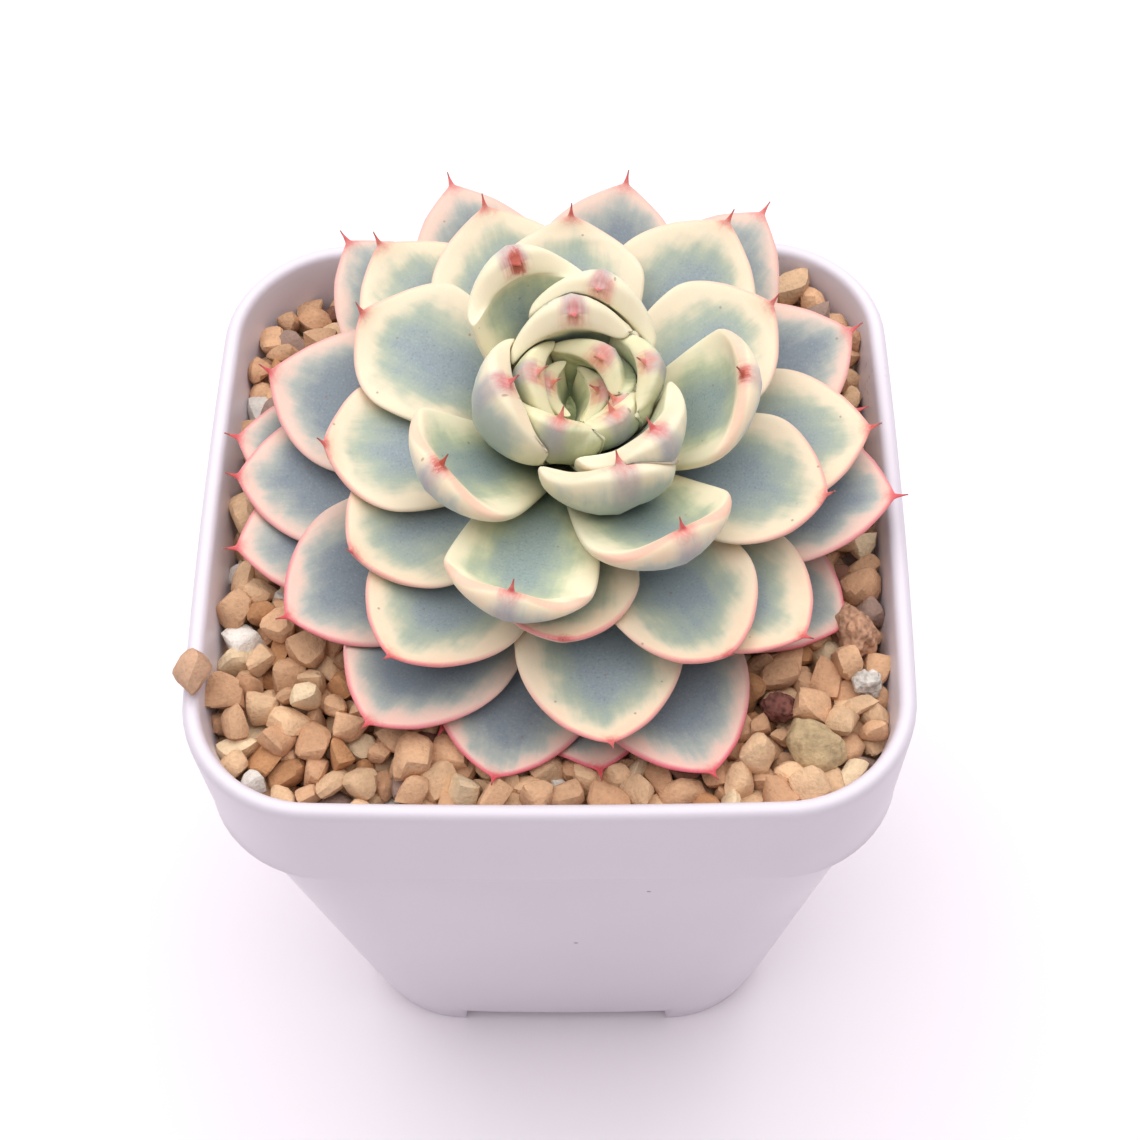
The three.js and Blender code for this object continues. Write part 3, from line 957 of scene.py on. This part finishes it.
    def midrib(self, ring: Ring, root: np.ndarray, reach: float, rise: float) -> tuple[np.ndarray, ...]:
        """Works out a leaf's midrib in the upright plane of its bearing.

        It is a cubic curve from the stem to the start of the point, then a straight line to its end. The
        places along it crowd towards the point.

        Args:
            ring: The ring's sizes.
            root: Distance and height of the leaf's root on the stem.
            reach: Distance of the point from the axis.
            rise: Height of the point.

        Returns:
            Places, unit directions, share of the blade's length and distance still to go to the point's end.
        """
        heading = np.radians([ring.root_angle, ring.tip_angle])
        start, ahead = np.stack([np.cos(heading), np.sin(heading)], -1)
        end = np.array([reach, rise]) - ahead * self.mucro_length
        span = float(np.linalg.norm(end - root))
        rising = root + start * span * self.root_push
        falling = end - ahead * span * ring.form.tip_pull
        knots = np.array([root - start, rising, falling, end])
        share = 1 - (1 - np.linspace(0, 1, self.rows)) ** self.crowding
        t = share[:, None]
        spread = np.hstack([(1 - t) ** 3, 3 * t * (1 - t) ** 2, 3 * t * t * (1 - t), t**3])
        slope = np.hstack([-3 * (1 - t) ** 2, 3 * (1 - t) * (1 - 3 * t), 3 * t * (2 - 3 * t), 3 * t * t])
        beyond = np.linspace(0, 1, self.point_rows + 1)[1:, None] * self.mucro_length
        places = np.vstack([spread @ knots, end + beyond * ahead])
        along = np.vstack([slope @ knots, np.tile(ahead, (self.point_rows, 1))])
        along /= np.linalg.norm(along, axis=1, keepdims=True)
        travelled = np.r_[0, np.cumsum(np.linalg.norm(np.diff(places, axis=0), axis=1))]
        return places, along, np.r_[share, np.ones(self.point_rows)], travelled[-1] - travelled

    def blade(
        self, ring: Ring, root: np.ndarray, bearing: float, reach: float, rise: float, index: int
    ) -> tuple[np.ndarray, list[list[int]], dict[str, np.ndarray]]:
        """Works out one leaf.

        Across the midrib stands a section whose outline is a superellipse: cos and sin of the turn, each to
        the power of 2 over the form's fullness. Its half width grows as a sine from the root to the widest
        place and then falls as 1 - t^a, to a power b. The section is raised by the cup times the square of
        the distance across, and a small ripple lifts and lowers its margins. The margins sweep into the
        point along a square of the distance from its end, joined on by adding cubes.

        Args:
            ring: The ring's sizes.
            root: Distance and height of the leaf's root on the stem.
            bearing: Bearing of the leaf's point, in radians.
            reach: Distance of the point from the axis.
            rise: Height of the point.
            index: Number of the leaf, which seeds its small differences.

        Returns:
            Points, faces and attributes.
        """
        rng = np.random.default_rng(self.seed + index)
        wide, roll, sway, wave = rng.uniform(self.least, self.most)
        middle, along, share, to_go = self.midrib(ring, root, reach, rise)
        form = ring.form
        swell = np.sin(np.clip(share / form.widest_at, 0, 1) * np.pi / 2) ** 1.3
        taper = np.clip((share - form.widest_at) / (1 - form.widest_at), 0, 1)
        outline = form.root_width + (1 - form.root_width) * swell
        outline = outline * (1 - taper**form.end_power) ** form.end_root
        flare = form.flare_mm * (np.clip(to_go, 0, form.flare_length_mm) / form.flare_length_mm) ** 2
        half = np.cbrt((ring.width * wide / 2 * outline) ** 3 + (self.mucro_width / 2 + flare) ** 3)
        fleshy = self.root_flesh + (1 - self.root_flesh) * smooth(0, 0.45, share)
        fleshy = fleshy - (1 - form.end_thickness) * smooth(0.5, 1.0, share)
        depth = ring.thick * fleshy * np.minimum(1, outline / 0.6) ** 0.7
        depth = np.cbrt(depth**3 + (self.mucro_thickness + 0.4 * flare) ** 3)

        turn = np.arange(self.columns) * 2 * np.pi / self.columns
        power = 2 / form.fullness
        across = np.sign(np.cos(turn)) * np.abs(np.cos(turn)) ** power
        up = np.sign(np.sin(turn)) * np.abs(np.sin(turn)) ** power
        keel = self.keel_depth * np.exp(-((across / self.keel_width) ** 2)) * (up < 0)
        body = 0.5 * up - keel
        hollow = ring.cup * ring.width * outline**2
        ripple = self.ripple * np.sin(share * 9 + wave) * outline
        height = hollow[:, None] * across**2 + depth[:, None] * body + ripple[:, None] * np.abs(across) ** 3
        twist = roll * np.sin(np.pi * share)[:, None]
        side = half[:, None] * across * np.cos(twist) - height * np.sin(twist)
        height = half[:, None] * across * np.sin(twist) + height * np.cos(twist)
        side = side + (sway * np.sin(np.pi * share) ** 2)[:, None]

        frame_of = (middle, along, bearing)
        height = self.pressed(frame_of, side, height, depth)
        points, faces = closed_skin(self.placed(frame_of, side, height))

        # The way to the edge joins those to the rim and to the end, a and b, as a b over their hypotenuse.
        from_end = np.maximum(to_go - self.mucro_length, 0)[:, None]
        rim_gap = half[:, None] * (1 - np.abs(across)) + 0.02
        end_gap = from_end * 1.1 + 0.15
        edge = rim_gap * end_gap / np.hypot(rim_gap, end_gap)
        shape = side.shape
        lit = self.sun_mean - self.sun_front * math.sin(bearing)
        sun = ring.sun * lit * rng.uniform(*self.sun_range)
        mood = np.stack([np.full(shape, sun), np.broadcast_to(up, shape), np.zeros(shape)], -1)
        shares = np.broadcast_to(share[:, None], shape)
        left = np.broadcast_to(to_go[:, None], shape)
        columns = {
            "leaf_place": np.stack([edge, shares, np.zeros(shape)], -1),
            "leaf_grain": np.stack([side, left, np.full(shape, index * self.pattern_step)], -1),
            "leaf_mood": mood,
        }
        return points, faces, {label: self.with_poles(values) for label, values in columns.items()}

    def placed(
        self, frame_of: tuple[np.ndarray, np.ndarray, float], side: np.ndarray, height: np.ndarray
    ) -> np.ndarray:
        """Turns distances to the side of a midrib and above it into places in the part's frame.

        Args:
            frame_of: The midrib's places and directions in its upright plane, and the plane's bearing.
            side: Distances to the side, a row for each place on the midrib.
            height: Distances above.

        Returns:
            An array of places, of the same rows and columns.
        """
        middle, along, bearing = frame_of
        outward = middle[:, :1] - along[:, 1:] * height
        upward = middle[:, 1:] + along[:, :1] * height
        c, s = math.cos(bearing), math.sin(bearing)
        return self.to_world(np.stack([outward * c - side * s, outward * s + side * c, upward], -1))

    def pressed(
        self,
        frame_of: tuple[np.ndarray, np.ndarray, float],
        side: np.ndarray,
        height: np.ndarray,
        depth: np.ndarray,
    ) -> np.ndarray:
        """Presses a leaf down where it would run into a younger one that lies on it.

        A line is cast up through each point of the upper face from well under the leaf. Where it meets a
        younger leaf's underside before it gets to the face, the leaf is moved down by the difference, which
        fades into its surroundings, and is squeezed a little as well.

        Args:
            frame_of: The leaf's midrib.
            side: Distances to the side.
            height: Distances above the midrib.
            depth: The leaf's thickness at each place on the midrib.

        Returns:
            The new heights.
        """
        if not self.younger:
            return height
        columns = height.shape[1]
        upper = slice(0, columns // 2 + 1)
        start = self.placed(frame_of, side[:, upper], height[:, upper] - depth[:, None] - self.press_from)
        end = self.placed(frame_of, side[:, upper], height[:, upper])
        way = end - start
        length = np.linalg.norm(way, axis=-1)
        lap = np.zeros(length.shape)
        towards = (way / length[..., None]).reshape(-1, 3)
        rays = list(zip(start.reshape(-1, 3), towards, length.ravel(), strict=True))
        both = np.concatenate([start, end]).reshape(-1, 3)
        for tree, low, high in self.younger:
            if (both.min(0) > high).any() or (both.max(0) < low).any():
                continue
            met = [
                (hit[1].dot(Vector(to)), hit[3]) if hit[0] is not None else (1, 0)
                for at, to, far in rays
                for hit in (tree.ray_cast(Vector(at) * MM, Vector(to), (far + self.press_gap) * MM),)
            ]
            facing, reached = np.array(met).T.reshape(2, *length.shape)
            lap = np.maximum(lap, np.where(facing < 0, length - reached / MM + self.press_gap, 0))
        lap[: self.free_rows] = 0
        spread = lap.copy()
        for _ in range(self.press_fades):
            ringed = np.pad(spread, 1, mode="edge")
            around = ringed[:-2, 1:-1] + ringed[2:, 1:-1] + ringed[1:-1, :-2] + ringed[1:-1, 2:]
            spread = np.maximum(lap, 0.5 * spread + 0.125 * around)
        squeeze = np.minimum(spread, 0.5 * depth[:, None])
        moved = height.copy()
        moved[:, upper] -= spread
        lower = slice(columns // 2 + 1, columns)
        moved[:, lower] -= (spread - squeeze)[:, 1:-1][:, ::-1]
        return moved

    @staticmethod
    def with_poles(values: np.ndarray) -> np.ndarray:
        """Adds the two poles' values to a grid's, as the means of its first and last rings."""
        flat = values.reshape(-1, values.shape[-1])
        return np.vstack([flat, values[0].mean(0), values[-1].mean(0)])

    def build_leaves(self) -> None:
        """Makes every leaf, youngest first, from its listed point and its ring's sizes, in place of its CAD
        node.
        """
        finishes = {age: age.value.build() for age in LeafAge}
        for ring in self.rings:
            for number, (bearing, reach, rise) in enumerate(ring.leaves, 1):
                name = f"leaf_{ring.name}_{number:02d}"
                index = len(self.leaves)
                root = self.stem_surface(self.first_leaf + self.leaf_pitch * index)
                points, faces, attributes = self.blade(ring, root, math.radians(bearing), reach, rise, index)
                attributes["leaf_mood"][:, 2] = name in self.scarred
                leaf = make_piece(f"{name}_blade", points, faces, finishes[ring.age], attributes)
                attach(leaf, BODY)
                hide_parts(name)
                self.leaves.append(leaf)
                tree = BVHTree.FromPolygons((points * MM).tolist(), faces)
                self.younger.append((tree, points.min(0), points.max(0)))
        log.info("leaves: %d", len(self.leaves))

    def build_stem(self) -> None:
        """Makes the stem: a post with a domed tip, ringed by the scars of old leaves.

        Its radius is the post's, plus a small ripple along its height that shifts with the bearing.
        """
        around = np.arange(self.stem_columns) * 2 * np.pi / self.stem_columns
        shoulder = self.stem_rise - self.stem_dome
        low = np.linspace(-self.stem_down, shoulder, self.stem_rows)
        turn = np.linspace(0, np.pi / 2, 10)[1:-1]
        heights = np.r_[low, shoulder + self.stem_dome * np.sin(turn)]
        straight = np.full(self.stem_rows, self.stem_radius)
        radii = np.r_[straight, self.stem_radius * np.cos(turn)] - self.stem_under
        radii[0] *= 0.6
        scars = self.scar_height * np.sin(heights[:, None] * 4.2 + 3 * around[None, :])
        radius = radii[:, None] + scars * (radii[:, None] > 3)
        level = np.broadcast_to(heights[:, None], radius.shape)
        rings = np.stack([radius * np.cos(around), radius * np.sin(around), level], -1)
        points, faces = closed_skin(self.to_world(rings))
        bark = GroundMatter("green_stem_skin", dark="#8d9868", light="#c2c598", crumb_size=1.4)
        stem = make_piece("scarred_stem", points, faces, bark.build())
        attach(stem, BODY)
        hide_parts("stem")

    def build(self) -> None:
        """Makes the stem and the leaves."""
        self.build_stem()
        self.build_leaves()


# ----------------------------------------------------------------------------------------------------- gravel


@dataclass
class Gravel:
    """The topping: loose grains in their hundreds, settled by pushing overlapping balls apart."""

    pot: Pot
    plant: Plant
    seed: int = 5
    grains: int = 1550
    mean_radius: float = 1.51
    radius_spread: float = 0.22  # this and the next are shares of the mean
    radius_range: tuple[float, float] = (0.62, 1.5)
    opening_low: float = 36.2  # the opening's half width at the height taper_from
    opening_gain: float = 1.7  # how much wider it is a further taper_over up
    taper_from: float = 60.0
    taper_over: float = 25.0
    scatter: float = 35.0  # how far from the middle a ball may start
    steps: int = 64
    slow_steps: int = 15
    sink: float = 0.25
    slow_sink: float = 0.02
    closeness: float = 0.94  # the share of their radii's sum that keeps two balls apart
    stone_closeness: float = 0.95  # the share of its radius that a ball keeps off a marked stone
    stem_room: float = 0.5
    floor_room: float = 0.8  # a ball's lowest place over the floor, in radii
    sunk_room: float = 0.7  # a ball lower than this is left out
    ceiling_every: int = 6  # steps from one test of the leaves above to the next
    longest_push: float = 1.2
    over_top: float = 2.0
    probe_out: float = 0.8  # where a ball is tested for leaves round its middle, in radii
    room_over: tuple[float, float] = (1.05, 0.75)  # radii kept clear over its middle and over its sides
    leaf_gap: float = 0.15
    deepest_tuck: float = 4.0
    chip_cuts: tuple[float, ...] = (-1, -0.45, 0.45, 1)
    chip_scale: float = 1.14
    chip_crease: float = 32.0
    cut_planes: int = 7
    corner_shift: float = 0.5
    cut_range: tuple[float, float] = (0.62, 0.85)  # how much of the way out a plane leaves
    block_size: float = 0.82
    ball_swell: float = 1.25  # a ball's size against its block's
    least_stretch: tuple[float, ...] = (1.0, 0.8, 0.66)
    most_stretch: tuple[float, ...] = (1.35, 1.08, 0.92)
    wear_range: tuple[float, float] = (0.55, 0.9)
    shade_range: tuple[float, float] = (0.84, 1.1)
    stray_inset: float = 1.2
    stray_y: float = -23.6
    stray_rise: float = 1.5
    stray_radius: float = 1.95
    stray_room: float = 2.2
    stray_colour: str = "#d3a98a"
    marked_seed: int = 45
    marked_cuts: int = 25
    lump_waves: int = 24
    # Each common colour and its share.
    palette: tuple[tuple[str, float], ...] = (
        ("#dbae88", 0.3),
        ("#e4bd96", 0.27),
        ("#cd9f7b", 0.17),
        ("#e6cca8", 0.09),
        ("#c28e64", 0.07),
        ("#e6ded4", 0.03),
        ("#8c6454", 0.03),
        ("#a08578", 0.03),
    )
    # Each marked stone's node, colour, wear and lumpiness.
    marked: tuple[tuple[str, str, float, float], ...] = (
        ("stone_porous", "#cf9f80", 0.9, 0.09),
        ("stone_round", "#c9ae86", 0.95, 0.05),
        ("stone_dark", "#8d5a50", 0.6, 0.13),
        ("stone_pale", "#e4dcd2", 0.6, 0.08),
    )

    def __post_init__(self) -> None:
        """Reads the layer's floor and top from the CAD gravel."""
        low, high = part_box("gravel_layer")
        self.floor: float = low.z / MM
        self.top: float = high.z / MM

    def wall_push(self, at: np.ndarray, radius: np.ndarray) -> np.ndarray:
        """Gives the move that brings each ball back inside the pot's rounded square opening.

        A ball beyond a corner's centre is held by the corner's arc, and any other by the straight sides.
        """
        share = np.clip((at[:, 2] - self.taper_from) / self.taper_over, 0, 1)
        half = self.opening_low + self.opening_gain * share - radius
        corner = np.maximum(self.pot.rim_corner - self.pot.rim_wall - radius, 0.5)
        centre = half - corner
        signs = np.sign(at[:, :2])
        past = np.abs(at[:, :2]) - centre[:, None]
        in_corner = (past > 0).all(1)
        distance = np.linalg.norm(np.maximum(past, 1e-6), axis=1)
        pull = np.where(in_corner & (distance > corner), (distance - corner) / distance, 0)
        move = -signs * past * pull[:, None]
        straight = np.maximum(np.abs(at[:, :2]) - half[:, None], 0)
        move -= signs * straight * (~in_corner)[:, None]
        return np.column_stack([move, np.zeros(len(at))])

    def settle(self) -> tuple[np.ndarray, np.ndarray]:
        """Lets the balls come to rest.

        Each step every ball sinks a little, then each overlapping pair is pushed apart along the line
        between their centres, by half the overlap each, and the walls, the floor, the stem, the marked
        stones and the leaves above push back.

        Returns:
            Centres and radii.
        """
        rng = np.random.default_rng(self.seed)
        radius = self.mean_radius * rng.normal(1, self.radius_spread, self.grains).clip(*self.radius_range)
        at = np.column_stack(
            [
                rng.uniform(-self.scatter, self.scatter, self.grains),
                rng.uniform(-self.scatter, self.scatter, self.grains),
                rng.uniform(self.floor + 2, self.top + 3, self.grains),
            ]
        ).astype(np.float32)
        radius = radius.astype(np.float32)
        fixed = self.marked_balls()
        roof = self.roof()
        axis = self.plant.to_world(np.array([[0, 0, -6.0]]))[0]
        for step in range(self.steps):
            at[:, 2] -= self.sink if step < self.steps - self.slow_steps else self.slow_sink
            for _ in range(2):
                gap = at[:, None] - at[None]
                distance = np.sqrt((gap**2).sum(-1)) + 1e-6
                reach = self.closeness * (radius[:, None] + radius[None])
                lap = np.maximum(reach - distance, 0)
                np.fill_diagonal(lap, 0)
                push = ((lap / distance)[..., None] * gap).sum(1)
                at += 0.5 * push.clip(-self.longest_push, self.longest_push)
                for centre, ball in fixed:
                    away = at - centre
                    length = np.linalg.norm(away, axis=1) + 1e-6
                    lap = np.maximum(ball + radius * self.stone_closeness - length, 0)
                    at += away * (lap / length)[:, None]
                away = at[:, :2] - axis[:2]
                length = np.linalg.norm(away, axis=1) + 1e-6
                lap = np.maximum(self.plant.stem_radius + self.stem_room + radius - length, 0)
                at[:, :2] += away * (lap / length)[:, None]
                at += self.wall_push(at, radius)
                at[:, 2] = np.maximum(at[:, 2], self.floor + radius * self.floor_room)
            if (step + 1) % self.ceiling_every == 0:
                at[:, 2] = np.minimum(at[:, 2], self.ceiling(at, radius, roof))
        keep = at[:, 2] >= self.floor + radius * self.sunk_room
        return at[keep], radius[keep]

    def marked_balls(self) -> list[tuple[np.ndarray, float]]:
        """Gives each marked stone's centre and mean radius, from its CAD node."""
        balls = []
        for name, *_ in self.marked:
            low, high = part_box(name)
            middle = np.array((low + high) / 2) / MM
            balls.append((middle, float(np.mean(high - low)) / 2 / MM))
        return balls

    def roof(self) -> BVHTree:
        """Joins the leaves into one tree that a ray upwards can be tested against."""
        corners, faces, start = [], [], 0
        for leaf in self.plant.leaves:
            mesh = leaf.data
            places = np.empty(len(mesh.vertices) * 3, np.float32)
            mesh.vertices.foreach_get("co", places)
            corners.append(places.reshape(-1, 3))
            faces += [[start + v for v in p.vertices] for p in mesh.polygons]
            start += len(mesh.vertices)
        return BVHTree.FromPolygons(np.vstack(corners).tolist(), faces)

    def ceiling(self, at: np.ndarray, radius: np.ndarray, roof: BVHTree) -> np.ndarray:
        """Finds how high each ball may stand under the leaves, or under the rim where it is open.

        Args:
            at: Centres.
            radius: Radii.
            roof: The leaves.

        Returns:
            The highest centre allowed for each ball.
        """
        highest = np.empty(len(at))
        out = self.probe_out
        over_middle, over_side = self.room_over
        for k, (x, y, _) in enumerate(at):
            best = self.top + self.over_top - radius[k] * 0.4
            for dx, dy in ((0, 0), (out, 0), (-out, 0), (0, out), (0, -out)):
                origin = Vector((x + dx * radius[k], y + dy * radius[k], self.floor)) * MM
                hit = roof.ray_cast(origin, Vector((0, 0, 1)))[0]
                if hit is not None:
                    best = min(best, hit.z / MM - radius[k] * (over_middle if dx == dy == 0 else over_side))
            highest[k] = best
        return highest

    def cube_skin(self, steps: np.ndarray) -> tuple[np.ndarray, np.ndarray]:
        """Lays one grid on the six sides of a cube that reaches from -1 to 1.

        Args:
            steps: Where the grid's lines lie along each edge.

        Returns:
            Points and quads.
        """
        cuts = len(steps) - 1
        a, b = np.meshgrid(steps, steps, indexing="ij")
        one = np.ones_like(a)
        sides = [(one, a, b), (-one, b, a), (b, one, a), (a, -one, b), (a, b, one), (b, a, -one)]
        points = np.vstack([np.stack(s, -1).reshape(-1, 3) for s in sides])
        row, column = np.mgrid[0:cuts, 0:cuts]
        corner = (row * (cuts + 1) + column).ravel()
        quad = np.stack([corner, corner + cuts + 1, corner + cuts + 2, corner + 1], -1)
        quads = np.vstack([quad + k * (cuts + 1) ** 2 for k in range(6)])
        unique, inverse = np.unique(points.round(6), axis=0, return_inverse=True)
        return unique, inverse.reshape(-1)[quads]

    def chipped(self, cube: np.ndarray, rng: np.random.Generator, wear: float) -> np.ndarray:
        """Shapes a cube into a chip of stone.

        It is drawn towards a ball by its wear. Its eight corners are moved at random, with everything
        between them in proportion. Then planes cut it: what lies past a plane is moved back towards it.
        Last, it is stretched along its own axes.

        Args:
            cube: Points on a cube that reaches from -1 to 1.
            rng: Source of the differences.
            wear: How worn it is, from 0, a sharp block, to 1, a ball.

        Returns:
            The chip's points, about 1 from its middle.
        """
        signs = np.array([[x, y, z] for x in (-1, 1) for y in (-1, 1) for z in (-1, 1)])
        share = ((1 + cube[:, None] * signs) / 2).prod(2)
        ball = cube / np.linalg.norm(cube, axis=1, keepdims=True)
        body = self.block_size * (cube * (1 - wear) + self.ball_swell * ball * wear)
        body += share @ rng.uniform(-self.corner_shift, self.corner_shift, (8, 3)) * (1 - 0.3 * wear)
        for _ in range(self.cut_planes):
            normal = rng.normal(size=3)
            normal /= np.linalg.norm(normal)
            past = body @ normal
            cut = past.max() * rng.uniform(*self.cut_range)
            body -= np.maximum(past - cut, 0)[:, None] * normal * (1 - 0.6 * wear)
        return body * rng.uniform(self.least_stretch, self.most_stretch)

    def build_grains(self) -> None:
        """Makes the loose grains as one piece, in place of the plain CAD layer."""
        at, radius = self.settle()
        rng = np.random.default_rng(self.seed + 1)
        cube, quads = self.cube_skin(np.array(self.chip_cuts))
        shades = np.array([linear(colour)[:3] for colour, _ in self.palette])
        weights = np.array([share for _, share in self.palette])
        picks = rng.choice(len(shades), len(at), p=weights / weights.sum())
        tints = shades[picks] * rng.uniform(*self.shade_range, (len(at), 1))
        at, radius, tints = self.stray(at, radius, tints)
        points, faces = [], []
        roof = self.roof()
        for k, (centre, size) in enumerate(zip(at, radius, strict=True)):
            grain = self.chipped(cube, rng, rng.uniform(*self.wear_range)) * size * self.chip_scale
            turn = rng.uniform(0, 2 * np.pi)
            turned = Matrix.Rotation(turn, 3, Vector(rng.normal(size=3)).normalized())
            if k % 3 == 0:  # one in three lies flat, turned about the upright only
                turned = Matrix.Rotation(rng.uniform(0, 2 * np.pi), 3, "Z")
            points.append(self.tucked(grain @ np.array(turned).T + centre, roof))
            faces.append(quads + k * len(cube))
        colours = np.repeat(tints, len(cube), axis=0)
        stones = make_piece(
            "gravel_grains",
            np.vstack(points),
            np.vstack(faces).tolist(),
            PorousStone("porous_gravel").build(),
            {"grain_colour": colours},
            sharp_degrees=self.chip_crease,
        )
        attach(stones, BODY)
        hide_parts("gravel_layer")
        log.info("grains: %d", len(at))

    def tucked(self, grain: np.ndarray, roof: BVHTree) -> np.ndarray:
        """Lowers a grain until no point of it reaches up into a leaf.

        Args:
            grain: The grain's points.
            roof: The leaves.

        Returns:
            The points, lowered.
        """
        drop = 0.0
        for x, y, z in grain:
            hit = roof.ray_cast(Vector((x, y, self.floor)) * MM, Vector((0, 0, 1)))[0]
            if hit is not None:
                drop = max(drop, z + self.leaf_gap - hit.z / MM)
        return grain - [0, 0, min(drop, self.deepest_tuck)]

    def stray(
        self, at: np.ndarray, radius: np.ndarray, tints: np.ndarray
    ) -> tuple[np.ndarray, np.ndarray, np.ndarray]:
        """Adds the grain that came to rest across the left rim, and clears the ones in its place.

        Args:
            at: Centres.
            radius: Radii.
            tints: Colours.

        Returns:
            The same arrays, with the stray grain last.
        """
        height = self.pot.height + self.stray_rise
        rest = np.array([[self.stray_inset - self.pot.rim_half, self.stray_y, height]])
        clear = np.linalg.norm(at - rest, axis=1) > radius + self.stray_room
        at, radius, tints = at[clear], radius[clear], tints[clear]
        colour = np.array([linear(self.stray_colour)[:3]])
        return np.vstack([at, rest]), np.r_[radius, self.stray_radius], np.vstack([tints, colour])

    def build_marked(self) -> None:
        """Makes the marked stones finer, each in place of its CAD node.

        Each is a chip whose skin is moved in and out by a sum of sine waves in different directions, each
        the weaker the shorter it is.
        """
        cube, quads = self.cube_skin(np.tan(np.linspace(-np.pi / 4, np.pi / 4, self.marked_cuts)))
        count = self.lump_waves
        for k, (name, colour, wear, lumpiness) in enumerate(self.marked):
            rng = np.random.default_rng(self.marked_seed + k)
            low, high = (np.array(v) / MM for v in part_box(name))
            body = self.chipped(cube, rng, wear)
            fast = np.linspace(2, 11, count)
            waves = np.sin(body @ (rng.normal(size=(3, count)) * fast) + rng.uniform(0, 6, count))
            body *= (1 + lumpiness * (waves / np.sqrt(fast)).sum(1) / 2)[:, None]
            body = (body - body.min(0)) / np.ptp(body, axis=0) * (high - low) + low
            # the pits' painted shade grows with the lumpiness
            finish = PorousStone(f"{name}_face", pit_size=0.7, pit_shading=lumpiness * 4, staining=0.34)
            tint = np.tile(linear(colour)[:3], (len(body), 1))
            stone = make_piece(f"{name}_worn", body, quads.tolist(), finish.build(), {"grain_colour": tint})
            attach(stone, BODY)
            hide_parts(name)

    def build(self) -> None:
        """Makes the grains and the marked stones, and dresses the soil under them."""
        self.build_grains()
        self.build_marked()
        mix = GroundMatter("potting_mix", dark="#2c2019", light="#5f4938", crumb_size=1.8)
        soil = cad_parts["soil"]
        soil.data.materials.clear()
        soil.data.materials.append(mix.build())


# ------------------------------------------------------------------------------------------- camera and stage


@dataclass(frozen=True)
class Camera:
    """A camera that looks down at the plant from the front, in millimetres and degrees."""

    target: tuple[float, float, float] = (2.22, -8.46, 84.0)
    distance: float = 255.83
    elevation: float = 56.57
    yaw: float = 2.41
    roll: float = -2.32
    lens: float = 71.52
    sensor: float = 36.0

    def build(self) -> None:
        """Places the camera: behind the target along the line of sight, then rolled about it."""
        up, side = math.radians(self.elevation), math.radians(self.yaw)
        back = Vector((math.sin(side) * math.cos(up), -math.cos(side) * math.cos(up), math.sin(up)))
        data = bpy.data.cameras.new("camera")
        data.lens, data.sensor_width = self.lens, self.sensor
        data.clip_start, data.clip_end = 0.01, 20
        camera = bpy.data.objects.new("camera", data)
        camera.location = (Vector(self.target) + back * self.distance) * MM
        turn = (-back).to_track_quat("-Z", "Y").to_matrix() @ Matrix.Rotation(math.radians(self.roll), 3, "Z")
        camera.rotation_euler = turn.to_euler()
        bpy.context.scene.collection.objects.link(camera)
        bpy.context.scene.camera = camera


@dataclass(frozen=True)
class Studio:
    """A plain white table under a wide softbox that hangs behind the pot, in a dimmer white room."""

    floor_size: float = 4000.0
    floor_colour: str = "#fbf4f7"
    floor_shade: str = "#f9f1f5"
    room: str = "#f4f2ff"
    room_strength: float = 0.36
    key_power: float = 13.8
    key_size: float = 1.4
    key_place: tuple[float, float, float] = (-0.03, 0.16, 0.85)  # this and the next are in metres
    key_aim: tuple[float, float, float] = (0, 0, 0.09)

    def build(self) -> None:
        """Makes the floor, the room's light and the softbox."""
        half = self.floor_size / 2
        corners = np.array([[-half, -half, 0], [half, -half, 0], [half, half, 0], [-half, half, 0]])
        material, tree, shader = new_material("white_table")
        where = add_node(tree, "ShaderNodeTexCoord", {}).outputs["Object"]
        cloud = add_node(tree, "ShaderNodeTexNoise", {"Vector": where, "Scale": 6.0}).outputs[0]
        tone = add_node(
            tree,
            "ShaderNodeMix",
            {0: cloud, MIX_A: linear(self.floor_colour), MIX_B: linear(self.floor_shade)},
            data_type="RGBA",
        )
        feed(shader, {"Base Color": tone.outputs[MIX_OUT], "Roughness": 0.7})
        table = make_piece("white_table_top", corners, [[0, 1, 2, 3]], material)

        world = bpy.data.worlds.new("room")
        world.use_nodes = True
        background = world.node_tree.nodes["Background"]
        feed(background, {"Color": linear(self.room), "Strength": self.room_strength})
        bpy.context.scene.world = world

        light = bpy.data.lights.new("softbox", "AREA")
        light.shape, light.size, light.energy = "SQUARE", self.key_size, self.key_power
        softbox = bpy.data.objects.new("softbox", light)
        softbox.location = self.key_place
        aim = Vector(self.key_aim) - Vector(self.key_place)
        softbox.rotation_euler = aim.to_track_quat("-Z", "Y").to_euler()
        bpy.context.scene.collection.objects.link(softbox)
        bpy.context.scene.view_settings.view_transform = "Standard"


def main() -> None:
    """Builds the object round the frame, in the order that its pieces depend on each other."""
    logging.basicConfig(level=logging.INFO, format="%(name)s: %(message)s")
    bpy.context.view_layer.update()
    Camera().build()
    pot = Pot()
    pot.build()
    plant = Plant()
    plant.build()
    Gravel(pot, plant).build()
    Studio().build()


if __name__ == "__main__":
    main()
